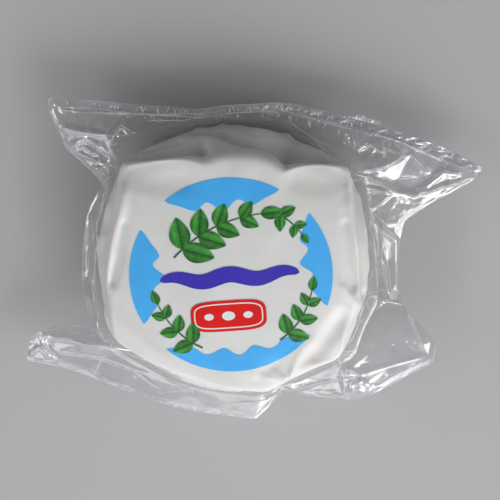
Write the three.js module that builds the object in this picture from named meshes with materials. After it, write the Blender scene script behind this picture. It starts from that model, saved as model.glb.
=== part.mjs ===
// A wheel of mozzarella, vacuum packed in a clear bag and lying flat with its printed face up.
// The bag is shrunk tight round the soft wheel, and its welded edges stand out round the waist as
// thin, creased flaps that end in four ears. Bag and cheese are one closed solid.
// Millimetres, +Z up. The origin is the middle of the pack's footprint, on the table it lies on.

import * as THREE from 'three';

// The wheel
const CROWN_HEIGHT = 37;     // middle of the printed face above the table
const FACE_FALL = 2.2;       // how far the face falls from its middle to its edge
const FACE_RADIUS = 47.5;    // edge of the printed face, between the corners
const EDGE_ROUNDING = 5.5;   // rounding of the face's edge
const WAIST_RADIUS = 52.5;   // widest part of the wheel, where the two films meet
const FOOT_RADIUS = 45;      // flat underside
const FOOT_ROUNDING = 5;     // rounding between the underside and the side

// The flaps of the bag
const SEAM_HEIGHT = 16;      // height at which the two films meet at the waist
const FLAP_THICKNESS = 1.3;  // both films, with the air and creases between them
const FILLET_REACH = 5;      // how far out the films bridge before they touch each other
const FILLET_SHARE = 0.45;   // the most of a flap's width that the bridge may take
const WAVE_HEIGHT = 1.0;     // slack waves along a flap's outer edge

// Corners where the film hauls the soft wheel outwards, and, with a negative reach, gathers where
// it presses the rim in beside them: direction, extra radius, angular spread.
const CORNERS = [
  { name: 'upper left', at: 136, reach: 11, spread: 12 },
  { name: 'upper right', at: 42, reach: 11.5, spread: 13 },
  { name: 'right', at: 343, reach: 3.5, spread: 8 },
  { name: 'lower right', at: 319, reach: 7, spread: 12 },
  { name: 'bottom', at: 285, reach: 5, spread: 13 },
  { name: 'lower left', at: 212, reach: 7, spread: 16 },
  { name: 'upper right gather', at: 64, reach: -4.5, spread: 7 },
  { name: 'upper left gather', at: 104, reach: -2.6, spread: 7 },
];
const CORNER_ROUNDING = 0.25;  // how blunt a corner is, as a share of its spread
const CORNER_SINK = 0.4;       // how far a corner's edge drops for each millimetre of its reach
const CORNER_WAIST = 0.45;     // share of a corner's reach that is left at the waist
const CORNER_LIFT = 0.45;      // how far the films' meeting line rises for each millimetre of reach

// The bag's outer edge, anticlockwise from the top seam's right end. Each point is x, y from the
// wheel's middle and its height, and gives the direction on the wheel that it hangs from.
const EDGE = [
  { at: [97.3, 34.5, 13], hangs: 38 },     // upper right ear
  { at: [79.5, 43.9, 14.5], hangs: 43 },
  { at: [56.2, 52.4, 16], hangs: 50 },
  { at: [40.9, 55.9, 16], hangs: 57 },
  { at: [19, 61.6, 15.5], hangs: 74 },     // top seam
  { at: [0.7, 60.8, 16.5], hangs: 89 },
  { at: [-12.6, 58.8, 16.5], hangs: 102 },
  { at: [-50.5, 62.5, 17], hangs: 128 },
  { at: [-69.1, 64.1, 18.5], hangs: 136 }, // upper left ear
  { at: [-66.8, 52, 17], hangs: 139.5 },
  { at: [-62.9, 42.6, 16], hangs: 143 },
  { at: [-50.3, 29, 15], hangs: 150 },
  { at: [-57, 18, 13.5], hangs: 163 },     // left side
  { at: [-59.5, -2.6, 12.5], hangs: 182 },
  { at: [-59.2, -20.4, 12.5], hangs: 198 },
  { at: [-57.3, -29.6, 13], hangs: 204.5 },
  { at: [-69.3, -27.4, 16], hangs: 207 },  // lower left ear
  { at: [-79.4, -30.7, 15], hangs: 209.5 },
  { at: [-83.4, -44.3, 14], hangs: 214 },
  { at: [-53.7, -53, 14.5], hangs: 228 },    // bottom seam
  { at: [-17.8, -67.2, 13.5], hangs: 256 },
  { at: [8.9, -71, 12], hangs: 277 },
  { at: [21.3, -58.1, 12], hangs: 290 },
  { at: [45.5, -62, 13.5], hangs: 305 },   // lower right ear
  { at: [55.1, -59.8, 15.5], hangs: 311 },
  { at: [78.7, -44.8, 17.5], hangs: 325 },
  { at: [80.4, -35.3, 17.5], hangs: 331 },
  { at: [65.3, -19.1, 14.5], hangs: 344 },
  { at: [64.9, 1.5, 12.5], hangs: 2 },     // right side
  { at: [65.9, 15, 15], hangs: 17 },
  { at: [76.3, 21.1, 14.5], hangs: 26 },
];

// The main creases of the flaps, as straight ridges that run out from the wheel.
const CREASES = [
  { from: [-44, 44], to: [-54, 60], rise: 3.2, width: 5 },
  { from: [-46, 42], to: [-66, 48], rise: 2.6, width: 6 },
  { from: [45, 41], to: [62, 47], rise: 3.2, width: 6 },
  { from: [50, 31], to: [88, 33], rise: 3.4, width: 7 },
  { from: [55, 20], to: [63, -8], rise: 2.2, width: 4 },
  { from: [54, -15], to: [74, -28], rise: 2.4, width: 5 },
  { from: [46, -39], to: [76, -42], rise: 2.4, width: 6 },
  { from: [23, -50], to: [25, -60], rise: 1.8, width: 5 },
  { from: [-48, -29], to: [-78, -33], rise: 3.0, width: 6 },
  { from: [-56, 8], to: [-56, -18], rise: 1.2, width: 3 },
];

// How finely the surface is drawn
const EDGE_STEP = 4.3;                             // along the outer edge
const FACE_RINGS = [0.25, 0.5, 0.72, 0.88];        // shares of the face's flat radius
const ROUND_STEPS = 4;                             // facets of the face's rounded edge
const BRIDGE_STEPS = 7;                            // facets from that edge down to the flap
const FLAP_STEPS = 5;                              // facets across a flap
const FOOT_STEPS = 3;                              // facets of the underside's rounding
const FOOT_RINGS = [0.5];

const radians = THREE.MathUtils.degToRad;

// The extra radius that the corners give a direction, in degrees round the wheel.
function pullAt(angle) {
  return CORNERS.reduce((sum, corner) => {
    const off = THREE.MathUtils.euclideanModulo(angle - corner.at + 180, 360) - 180;
    const blunt = Math.hypot(off / corner.spread, CORNER_ROUNDING) - CORNER_ROUNDING;
    return sum + corner.reach * Math.exp(-blunt);
  }, 0);
}

function onWheel(angle, radius, height) {
  const turn = radians(angle);
  return new THREE.Vector3(radius * Math.cos(turn), radius * Math.sin(turn), height);
}

// How much the creases lift a point of a flap.
function creaseAt(x, y) {
  const point = new THREE.Vector3(x, y, 0);
  return CREASES.reduce((sum, crease) => {
    const line = new THREE.Line3(new THREE.Vector3(...crease.from, 0), new THREE.Vector3(...crease.to, 0));
    const along = line.closestPointToPointParameter(point, true);
    const away = line.at(along, new THREE.Vector3()).distanceTo(point);
    const fade = 1 - 0.6 * along;
    return sum + crease.rise * fade * Math.max(0, 1 - away / crease.width);
  }, 0);
}

// The slack waves, which grow from nothing at the wheel (share 0) to full height at the edge.
function waveAt(x, y, share) {
  const turn = Math.atan2(y, x);
  return WAVE_HEIGHT * share * (Math.sin(9 * turn + 1.1) + 0.6 * Math.sin(17 * turn + 2.3));
}

// One cut through the pack, from the face's middle round the flap to the underside's middle.
function section({ edge, hangs }) {
  const pull = pullAt(hangs);
  const faceRadius = FACE_RADIUS + pull;
  const waistRadius = WAIST_RADIUS + CORNER_WAIST * pull;
  const meeting = SEAM_HEIGHT + CORNER_LIFT * pull;
  const points = [];

  // The printed face, which is a shallow dome that sinks towards its corners.
  const faceHeight = (radius) => {
    const share = radius / faceRadius;
    return CROWN_HEIGHT - FACE_FALL * share ** 2 - CORNER_SINK * pull * share ** 6;
  };
  const flatRadius = faceRadius - EDGE_ROUNDING;
  for (const ring of FACE_RINGS) {
    points.push(onWheel(hangs, ring * flatRadius, faceHeight(ring * flatRadius)));
  }
  const shoulder = faceHeight(flatRadius);
  for (let i = 0; i <= ROUND_STEPS; i++) {
    const turn = (i / ROUND_STEPS) * Math.PI / 2;
    points.push(onWheel(
      hangs,
      flatRadius + EDGE_ROUNDING * Math.sin(turn),
      shoulder - EDGE_ROUNDING * (1 - Math.cos(turn)),
    ));
  }

  // The middle of the flap, from where the films touch out to the bag's edge.
  const waist = onWheel(hangs, waistRadius, meeting);
  const width = waist.distanceTo(edge);
  const touch = Math.min(FILLET_REACH + 0.4 * pull, FILLET_SHARE * width) / width;
  const flapAt = (share) => {
    const middle = waist.clone().lerp(edge, share);
    const loose = (share - touch) / (1 - touch);
    middle.z += waveAt(middle.x, middle.y, share) + creaseAt(middle.x, middle.y) * Math.min(1, 0.5 + loose);
    return middle;
  };
  const half = FLAP_THICKNESS / 2;
  const raised = (point, by) => new THREE.Vector3(point.x, point.y, point.z + by);

  // The upper film bridges from the face's edge, over the waist, to the flap.
  const faceEdge = points.at(-1);
  const upper = new THREE.CubicBezierCurve3(
    faceEdge,
    onWheel(hangs, Math.max(faceRadius, 0.985 * waistRadius), faceEdge.z - 0.55 * (faceEdge.z - meeting)),
    onWheel(hangs, waistRadius + 0.6, meeting + 0.15 * (faceEdge.z - meeting)),
    raised(flapAt(touch), half),
  );
  for (let i = 1; i <= BRIDGE_STEPS; i++) points.push(upper.getPoint(i / BRIDGE_STEPS));

  // Out over the flap and back under it.
  const shares = Array.from({ length: FLAP_STEPS }, (_, i) => touch + (1 - touch) * (i + 1) / FLAP_STEPS);
  for (const share of shares) points.push(raised(flapAt(share), half));
  for (const share of shares.toReversed()) points.push(raised(flapAt(share), -half));

  // The lower film bridges back to the side, which rounds into the flat underside.
  const footEdge = onWheel(hangs, FOOT_RADIUS + FOOT_ROUNDING, FOOT_ROUNDING);
  const lower = new THREE.CubicBezierCurve3(
    raised(flapAt(touch), -half),
    onWheel(hangs, waistRadius + 0.6, meeting - 0.3 * (meeting - FOOT_ROUNDING)),
    onWheel(hangs, 0.985 * WAIST_RADIUS, FOOT_ROUNDING + 0.35 * (meeting - FOOT_ROUNDING)),
    footEdge,
  );
  for (let i = 0; i < BRIDGE_STEPS; i++) points.push(lower.getPoint(i / BRIDGE_STEPS));
  for (let i = 0; i <= FOOT_STEPS; i++) {
    const turn = (i / FOOT_STEPS) * Math.PI / 2;
    points.push(onWheel(
      hangs,
      FOOT_RADIUS + FOOT_ROUNDING * Math.cos(turn),
      FOOT_ROUNDING * (1 - Math.sin(turn)),
    ));
  }
  for (const ring of FOOT_RINGS) points.push(onWheel(hangs, ring * FOOT_RADIUS, 0));
  return points;
}

// Where the sections stand: evenly along each stretch of the bag's edge.
function stations() {
  return EDGE.flatMap((start, i) => {
    const end = EDGE[(i + 1) % EDGE.length];
    const from = new THREE.Vector3(...start.at);
    const to = new THREE.Vector3(...end.at);
    const turn = THREE.MathUtils.euclideanModulo(end.hangs - start.hangs, 360);
    const count = Math.max(2, Math.round(from.distanceTo(to) / EDGE_STEP));
    return Array.from({ length: count }, (_, k) => ({
      edge: from.clone().lerp(to, k / count),
      hangs: start.hangs + turn * k / count,
    }));
  });
}

// The closed surface through all the sections, with a point in the middle of each round face.
function packGeometry() {
  const sections = stations().map(section);
  const rings = sections[0].length;
  const across = sections.length;
  const points = [
    ...sections.flat(),
    new THREE.Vector3(0, 0, CROWN_HEIGHT),
    new THREE.Vector3(0, 0, 0),
  ];
  const crown = points.length - 2;
  const foot = points.length - 1;
  const faces = [];
  for (let i = 0; i < across; i++) {
    const here = i * rings;
    const next = ((i + 1) % across) * rings;
    faces.push(crown, here, next);
    for (let k = 0; k < rings - 1; k++) {
      faces.push(here + k, here + k + 1, next + k + 1);
      faces.push(here + k, next + k + 1, next + k);
    }
    faces.push(here + rings - 1, foot, next + rings - 1);
  }
  const geometry = new THREE.BufferGeometry().setFromPoints(points);
  geometry.setIndex(faces);

  // The origin goes to the middle of the footprint.
  geometry.computeBoundingBox();
  const middle = geometry.boundingBox.getCenter(new THREE.Vector3());
  geometry.translate(-middle.x, -middle.y, 0);
  geometry.computeVertexNormals();
  return geometry;
}

const mozzarella = new THREE.MeshStandardMaterial({ color: 0xe6e4df, roughness: 0.35, metalness: 0 });

const pack = new THREE.Mesh(packGeometry(), mozzarella);
pack.name = 'vacuum_pack';

const part = new THREE.Group();
part.add(pack);

export default part;
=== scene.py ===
"""A soft white cheese wheel, shrunk into a clear creased vacuum bag with a printed face.

Sizes are in millimetres from the middle of the wheel, unless a name says otherwise. Meshes are in
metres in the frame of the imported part.
"""

import logging
import math
from dataclasses import dataclass
from enum import Enum

import bpy
import numpy as np
from mathutils import Matrix, Vector
from mathutils.bvhtree import BVHTree
from mathutils.geometry import delaunay_2d_cdt

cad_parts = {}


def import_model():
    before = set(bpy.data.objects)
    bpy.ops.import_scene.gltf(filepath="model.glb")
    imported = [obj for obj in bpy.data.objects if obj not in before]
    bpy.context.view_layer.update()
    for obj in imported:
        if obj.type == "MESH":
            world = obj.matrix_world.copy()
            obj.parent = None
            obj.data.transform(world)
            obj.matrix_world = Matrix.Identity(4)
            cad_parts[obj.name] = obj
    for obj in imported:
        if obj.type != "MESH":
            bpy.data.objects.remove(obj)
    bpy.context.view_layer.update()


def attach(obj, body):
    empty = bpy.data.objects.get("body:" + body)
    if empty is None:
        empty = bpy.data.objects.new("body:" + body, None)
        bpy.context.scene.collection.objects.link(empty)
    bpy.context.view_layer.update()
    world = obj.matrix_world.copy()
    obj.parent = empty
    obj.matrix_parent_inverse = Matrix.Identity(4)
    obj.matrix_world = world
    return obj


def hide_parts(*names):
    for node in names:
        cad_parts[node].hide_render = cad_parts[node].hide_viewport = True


LOG = logging.getLogger("pack")
METRE = 0.001
WHEEL_MIDDLE = (-6.95, 3.4)
WHITE = (1.0, 1.0, 1.0, 1.0)
DOWN = Vector((0.0, 0.0, -1.0))
ABOVE_ALL = 99.0
TINY = 1e-6


# Meshes

def to_part_frame(points: np.ndarray) -> np.ndarray:
    """Moves points from the wheel's middle into the frame of the part.

    Args:
        points: Rows of x, y, z in millimetres from the wheel's middle.

    Returns:
        The same rows in metres, in the part's frame.
    """
    return (points + np.array([*WHEEL_MIDDLE, 0.0])) * METRE


def new_piece(name: str, points: np.ndarray, faces: list, smooth: bool = True) -> bpy.types.Object:
    """Makes a mesh object out of points and faces.

    Args:
        name: The piece's name.
        points: Rows of x, y, z in millimetres from the wheel's middle.
        faces: Tuples of point numbers.
        smooth: Whether the faces are shaded smooth.

    Returns:
        The object, linked to the scene.
    """
    mesh = bpy.data.meshes.new(name)
    mesh.from_pydata(to_part_frame(points).tolist(), [], faces)
    mesh.validate()
    mesh.update()
    mesh.polygons.foreach_set("use_smooth", [smooth] * len(mesh.polygons))
    piece = bpy.data.objects.new(name, mesh)
    bpy.context.scene.collection.objects.link(piece)
    return piece


def give_values(piece: bpy.types.Object, name: str, values: np.ndarray) -> None:
    """Stores one number for each point of a piece, for its material to read.

    Args:
        piece: The mesh object.
        name: The attribute's name.
        values: One number for each point.
    """
    layer = piece.data.attributes.new(name, "FLOAT", "POINT")
    layer.data.foreach_set("value", np.asarray(values, np.float32))


def ring_faces(rings: int, stations: int, first: int = 0) -> list:
    """Faces between closed rings of points that follow each other outwards.

    Args:
        rings: How many rings there are.
        stations: How many points each ring has.
        first: The number of the first ring's first point.

    Returns:
        Quads as tuples of point numbers.
    """
    across = np.arange(stations)
    onward = (across + 1) % stations
    quads = []
    for ring in range(rings - 1):
        here = first + ring * stations
        out = here + stations
        quads.append(np.stack([here + across, out + across, out + onward, here + onward], axis=1))
    return [tuple(quad) for quad in np.concatenate(quads).tolist()]


def cap_faces(pole: int, first: int, stations: int, upward: bool) -> list:
    """Triangles that close a ring round one point.

    Args:
        pole: The number of the point in the middle.
        first: The number of the ring's first point.
        stations: How many points the ring has.
        upward: Whether the faces look up.

    Returns:
        Triangles as tuples of point numbers.
    """
    faces = []
    for i in range(stations):
        here = first + i
        onward = first + (i + 1) % stations
        faces.append((pole, here, onward) if upward else (pole, onward, here))
    return faces


def stretches(line: np.ndarray) -> tuple:
    """The lengths of a line's straight stretches, and how far along the line each point is."""
    lengths = np.hypot(*(line[1:, :2] - line[:-1, :2]).T)
    return lengths, np.concatenate([[0.0], np.cumsum(lengths)])


def distance_to_line(x: np.ndarray, y: np.ndarray, line: list) -> tuple:
    """How far points are from a line of straight stretches.

    Args:
        x: The points' x.
        y: The points' y.
        line: The line's points as (x, y).

    Returns:
        The distances, and how far along the line its nearest point is, from 0 to 1.
    """
    ends = np.array(line, float)
    lengths, starts = stretches(ends)
    nearest = np.full(np.shape(x), np.inf)
    along = np.zeros(np.shape(x))
    for start, end, length, before in zip(ends[:-1], ends[1:], lengths, starts):
        step = (end - start) / length
        run = np.clip((x - start[0]) * step[0] + (y - start[1]) * step[1], 0.0, length)
        away = np.hypot(x - start[0] - run * step[0], y - start[1] - run * step[1])
        closer = away < nearest
        nearest = np.where(closer, away, nearest)
        along = np.where(closer, (before + run) / starts[-1], along)
    return nearest, along


def smooth_step(value: np.ndarray, low: float, high: float) -> np.ndarray:
    """Rises smoothly from 0 at low to 1 at high."""
    share = np.clip((value - low) / (high - low), 0.0, 1.0)
    return share * share * (3.0 - 2.0 * share)


def turned_from(angle: np.ndarray, course: np.ndarray) -> np.ndarray:
    """How far directions are turned from a course, in degrees from -180 to 180."""
    return (angle - course + 180.0) % 360.0 - 180.0


def degrees_round(points: np.ndarray) -> np.ndarray:
    """The directions of rows of x, y, z on the wheel, in degrees."""
    return np.degrees(np.arctan2(points[:, 1], points[:, 0]))


def pushed_out(row: np.ndarray, push: np.ndarray) -> np.ndarray:
    """A row of x, y, z points, each moved away from the wheel's axis by its push."""
    grown = 1.0 + push / np.hypot(row[:, 0], row[:, 1])
    return row * np.column_stack([grown, grown, np.ones(len(row))])


def unit_steps(line: np.ndarray) -> np.ndarray:
    """Unit steps ahead along a line, one for each of its x, y points."""
    ahead = np.gradient(line, axis=0)
    return ahead / np.maximum(np.linalg.norm(ahead, axis=1), TINY)[:, None]


def beside(ahead: np.ndarray) -> np.ndarray:
    """Unit steps to the left of steps ahead."""
    return np.column_stack([-ahead[:, 1], ahead[:, 0]])


def on_round(turn: np.ndarray, radius: np.ndarray) -> np.ndarray:
    """Rows of x, y at directions in radians and radii."""
    return np.column_stack([radius * np.cos(turn), radius * np.sin(turn)])


def spin(degrees: float) -> np.ndarray:
    """The matrix that turns rows of x, y anticlockwise."""
    turn = math.radians(degrees)
    return np.array([[math.cos(turn), math.sin(turn)], [-math.sin(turn), math.cos(turn)]])


def shares(count: int) -> np.ndarray:
    """Even steps up to 1, without 0."""
    return (np.arange(count) + 1.0) / count


def closed_piece(name: str, rings: list, top: float, bottom: float) -> bpy.types.Object:
    """Makes a closed piece of rings round the wheel's axis.

    Args:
        name: The piece's name.
        rings: Arrays of x, y, z, one for each ring, from the top's middle to the bottom's middle.
        top: Height of the point on the axis that closes the first ring.
        bottom: Height of the point that closes the last ring.

    Returns:
        The piece.
    """
    points = np.vstack([*rings, [[0.0, 0.0, top], [0.0, 0.0, bottom]]])
    points[:, 2] = np.maximum(points[:, 2], 0.0)
    stations = len(rings[0])
    pole = len(rings) * stations
    faces = ring_faces(len(rings), stations)
    faces += cap_faces(pole, 0, stations, upward=True)
    faces += cap_faces(pole + 1, pole - stations, stations, upward=False)
    return new_piece(name, points, faces)


# Shape of the wheel and the bag

@dataclass(frozen=True)
class Corner:
    """A direction in which the film hauls the soft wheel outwards."""

    at: float
    reach: float
    spread: float


@dataclass(frozen=True)
class Crease:
    """A soft ridge, or with a negative rise a groove, along a line of points."""

    line: list
    rise: float
    width: float
    taper: float = 0.12

    def lift(self, x: np.ndarray, y: np.ndarray) -> np.ndarray:
        """How much the crease lifts points.

        Args:
            x: The points' x.
            y: The points' y.

        Returns:
            The lifts in millimetres.
        """
        away, along = distance_to_line(x, y, self.line)
        fade = np.clip(np.minimum(along, 1.0 - along) / self.taper, 0.25, 1.0)
        return self.rise * fade * np.maximum(0.0, 1.0 - (away / self.width) ** 2) ** 2


@dataclass(frozen=True)
class Crumple:
    """A round zone in which the film is crumpled, or in another list lies smooth."""

    at: tuple
    radius: float
    depth: float

    def weight(self, x: np.ndarray, y: np.ndarray) -> np.ndarray:
        """How crumpled the film is at points, fading out from the zone's middle."""
        away = np.hypot(x - self.at[0], y - self.at[1]) / self.radius
        return self.depth * np.exp(-(away**2))


@dataclass(frozen=True)
class Fold:
    """A sharp fold of the film through points of x, y and lift, with a fine bead along its crest."""

    points: tuple
    bead: float = 0.3
    bead_width: float = 0.9

    def crest(self, x: np.ndarray, y: np.ndarray) -> np.ndarray:
        """How much the fold's bead lifts points.

        Args:
            x: The points' x.
            y: The points' y.

        Returns:
            The lifts in millimetres.
        """
        away, along = distance_to_line(x, y, [point[:2] for point in self.points])
        fade = np.clip(np.minimum(along, 1.0 - along) * 8.0, 0.3, 1.0)
        return self.bead * fade * np.maximum(0.0, 1.0 - away / self.bead_width)


class FacetField:
    """Flat facets with sharp edges, as stiff film makes when it is crushed."""

    def __init__(
        self, spacing: float, seed: int, height: float, folds: tuple = (),
        half_size: tuple = (108.0, 84.0), clearance: float = 3.5,
    ) -> None:
        """Scatters the facets' corners, and joins the folds' points.

        Args:
            spacing: The usual distance between two random corners.
            seed: Fixes the random draws.
            height: The most that a random corner rises or sinks.
            folds: Folds whose points are corners too, joined by edges.
            half_size: Half the width and depth of the field.
            clearance: How far random corners stay from the folds.
        """
        draw = np.random.default_rng(seed)
        across = np.arange(-half_size[0], half_size[0] + spacing, spacing)
        deep = np.arange(-half_size[1], half_size[1] + spacing, spacing)
        x, y = (grid.ravel() for grid in np.meshgrid(across, deep))
        x = x + draw.uniform(-0.48, 0.48, x.size) * spacing
        y = y + draw.uniform(-0.48, 0.48, y.size) * spacing
        heights = draw.uniform(-height, height, x.size)
        free = np.ones(x.size, bool)
        numbers = {}
        edges = []
        for fold in folds:
            away, _ = distance_to_line(x, y, [point[:2] for point in fold.points])
            free &= away > clearance
            for point in fold.points:
                numbers.setdefault(tuple(point), len(numbers))
            for start, end in zip(fold.points[:-1], fold.points[1:]):
                edges.append((numbers[tuple(start)], numbers[tuple(end)]))
        given = np.array(list(numbers), float).reshape(-1, 3)
        corners = np.vstack([given, np.column_stack([x, y, heights])[free]])
        result = delaunay_2d_cdt([Vector(c[:2]) for c in corners.tolist()], edges, [], 0, 1e-6)
        points = []
        for corner, origin in zip(result[0], result[3]):
            lift = corners[origin[0], 2] if origin else corners[:len(given), 2].mean()
            points.append((corner.x, corner.y, lift))
        self.tree = BVHTree.FromPolygons(points, result[2])
        self.points = np.array(points)
        self.triangles = result[2]

    def ridges(self) -> list:
        """The edges at which two facets meet in a ridge.

        Returns:
            For each ridge its two ends as (x, y), and how much the facets' slopes differ there.
        """
        beside = {}
        for triangle in self.triangles:
            for k in range(3):
                pair = (triangle[k], triangle[(k + 1) % 3])
                beside[pair] = triangle[(k + 2) % 3]
        found = []
        for (a, b), c in beside.items():
            d = beside.get((b, a))
            if a > b or d is None:
                continue
            start, end, one, two = self.points[[a, b, c, d]]
            length = math.hypot(*(end - start)[:2])
            bends = []
            for corner in (one, two):
                share = np.dot(corner[:2] - start[:2], end[:2] - start[:2]) / length**2
                foot = start + share * (end - start)
                away = math.hypot(*(corner - foot)[:2])
                bends.append((foot[2] - corner[2]) / max(away, 0.3))
            bend = sum(bends)
            if bend > 0.0:
                found.append(((start[0], start[1]), (end[0], end[1]), bend))
        return found

    def at(self, x: np.ndarray, y: np.ndarray) -> np.ndarray:
        """Heights of the facets.

        Args:
            x: The points' x.
            y: The points' y.

        Returns:
            One height in millimetres for each point.
        """
        heights = []
        for a, b in zip(np.ravel(x).tolist(), np.ravel(y).tolist()):
            hit = self.tree.ray_cast(Vector((a, b, ABOVE_ALL)), DOWN)[0]
            heights.append(hit.z if hit is not None else 0.0)
        return np.array(heights).reshape(np.shape(x))


@dataclass(frozen=True)
class WheelShape:
    """The soft wheel that the film is shrunk onto."""

    crown_height: float = 37.0
    face_fall: float = 2.2
    face_radius: float = 47.5
    edge_rounding: float = 5.5
    waist_radius: float = 52.5
    foot_radius: float = 45.0
    foot_rounding: float = 5.0
    seam_height: float = 16.0
    corner_blunt: float = 0.25
    corner_sink: float = 0.4
    corner_waist: float = 0.45
    corner_lift: float = 0.45
    corners: tuple = (
        Corner(136, 11, 12),
        Corner(42, 11.5, 13),
        Corner(343, 3.5, 8),
        Corner(319, 7, 12),
        Corner(285, 5, 13),
        Corner(212, 7, 16),
        Corner(64, -4.5, 7),
        Corner(104, -2.6, 7),
    )
    wall_folds: tuple = (
        Crease([(100, 29), (116, 28.5), (131, 29)], -2.8, 4.0),
        Crease([(70, 28), (60, 28), (48, 28.5)], -2.6, 4.0),
        Crease([(100, 19), (91, 25), (82, 28), (70, 27), (60, 27)], -2.4, 3.6),
        Crease([(84, 19), (70, 22), (50, 24)], 1.7, 4.0),
        Crease([(114, 20), (103, 24), (97, 29)], 1.6, 4.0),
        Crease([(128, 22), (116, 23), (104, 20)], -0.9, 3.5),
        Crease([(66, 18), (56, 19), (46, 19)], -0.9, 3.5),
        Crease([(160, 29), (166, 20)], -1.0, 5.0),
        Crease([(150, 24), (168, 25), (178, 20)], 1.2, 4.0),
        Crease([(-166, 30), (-172, 18)], -0.9, 6.0),
        Crease([(-160, 27), (-150, 22), (-138, 24)], 1.2, 4.5),
        Crease([(34, 22), (22, 26), (6, 27), (-8, 25)], 1.6, 4.0),
        Crease([(26, 19), (8, 20), (-6, 19)], -1.4, 3.5),
        Crease([(-13, 29), (-17, 20)], -2.0, 4.0),
        Crease([(-24, 26), (-36, 24), (-48, 26)], 1.0, 4.5),
        Crease([(-66, 28), (-62, 19)], -1.2, 5.0),
        Crease([(-84, 26), (-98, 23), (-116, 25)], 1.0, 5.0),
        Crease([(-126, 28), (-130, 19)], -1.0, 6.0),
    )
    arc_step: float = 0.92
    dents: tuple = (
        Crease([(21, -45), (25.5, -35), (32, -26)], 0.9, 2.0),
        Crease([(21, -45), (14.5, -40.5)], 0.7, 1.8),
        Crease([(21, -45), (6, -42)], 0.6, 1.8),
        Crease([(21, -45), (31, -42), (41, -38)], 0.8, 2.2),
        Crease([(24, -40), (33, -33), (43, -17)], -0.7, 4.5),
        Crease([(43.5, 32), (46, 18), (48.6, 6), (49, -4), (47.8, -14)], 1.4, 2.2),
        Crease([(42, 22), (44.2, 8), (45.3, -3), (46.8, -11)], -1.4, 3.0),
        Crease([(47.8, -14), (44, -9.5), (41, -5)], 0.7, 2.0),
        Crease([(28, -38), (38, -25), (45, -15)], -0.9, 6.0),
        Crease([(8, -44), (14, -40), (19, -36)], -0.5, 3.5),
        Crease([(-44, 38), (-30, 34), (-14, 36)], -0.5, 6.0),
        Crease([(46, 38), (34, 33), (20, 37)], -0.5, 6.0),
        Crease([(-39.5, 36), (-42.3, 21.7), (-45.6, 11.8), (-48.1, 0), (-48.7, -11)], 1.5, 2.2),
        Crease([(-41, 22), (-43, 6), (-44.8, -1), (-47.5, -9)], -1.5, 3.0),
        Crease([(-45, -18), (-34, -30), (-22, -38)], 0.35, 4.0),
        Crease([(-52, 34), (-50, 10), (-49, -12)], -1.6, 9.0, 0.3),
        Crease([(52, 26), (53, 8), (51, -10)], -1.2, 8.0, 0.3),
        Crease([(-20, 45), (-32, 45), (-40, 42)], 0.6, 4.0, 0.3),
        Crease([(6, 46), (2, 34), (6, 24)], 0.5, 7.0, 0.3),
    )
    crisp_edges: tuple = (
        Corner(121, 0.7, 17),
        Corner(53, 0.7, 15),
        Corner(164, 0.6, 20),
        Corner(12, 0.45, 16),
        Corner(319, 0.6, 12),
        Corner(218, 0.55, 24),
        Corner(268, 0.45, 16),
    )
    pleats: int = 26
    wall_share: float = 0.985
    tuck: float = 0.35

    def pull(self, angle: np.ndarray) -> np.ndarray:
        """The extra radius that the corners give to directions, in degrees round the wheel."""
        total = np.zeros(np.shape(angle))
        for corner in self.corners:
            off = turned_from(angle, corner.at)
            blunt = np.hypot(off / corner.spread, self.corner_blunt) - self.corner_blunt
            total = total + corner.reach * np.exp(-blunt)
        return total

    def rounding(self, angle: np.ndarray) -> np.ndarray:
        """Radius of the face's rounded edge at directions, in degrees round the wheel."""
        share = np.ones(np.shape(angle))
        for edge in self.crisp_edges:
            off = turned_from(angle, edge.at)
            share = share - edge.reach * np.exp(-((off / edge.spread) ** 2))
        return self.edge_rounding * np.maximum(share, 0.3)

    def dome(self, radius: np.ndarray, pull: np.ndarray) -> np.ndarray:
        """Height of the face at a radius, where the corners' pull is known."""
        share = radius / (self.face_radius + pull)
        return self.crown_height - self.face_fall * share**2 - self.corner_sink * pull * share**6

    def relief(self, x: np.ndarray, y: np.ndarray) -> np.ndarray:
        """Shallow dents and swells that the tight film presses into the face.

        Args:
            x: The points' x.
            y: The points' y.

        Returns:
            The lifts in millimetres.
        """
        swell = 0.16 * np.sin(0.093 * x + 0.4) * np.cos(0.081 * y - 0.9)
        swell = swell + 0.08 * np.sin(0.21 * x - 0.13 * y + 1.7)
        for dent in self.dents:
            swell = swell + dent.lift(x, y)
        return swell

    def fold_wall(self, rows: list) -> list:
        """Pushes rows of the wall in and out along its folds.

        Args:
            rows: Arrays of x, y, z, one for each row.

        Returns:
            The same rows, moved towards or away from the wheel's axis.
        """
        folded = []
        for row in rows:
            arc = degrees_round(row) * self.arc_step
            push = np.zeros(len(row))
            for fold in self.wall_folds:
                line = [(degrees * self.arc_step, height) for degrees, height in fold.line]
                push += Crease(line, fold.rise, fold.width).lift(arc, row[:, 2])
            low = smooth_step(row[:, 2], self.seam_height - 1.0, self.seam_height + 5.0)
            folded.append(pushed_out(row, push * low))
        return folded

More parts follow.
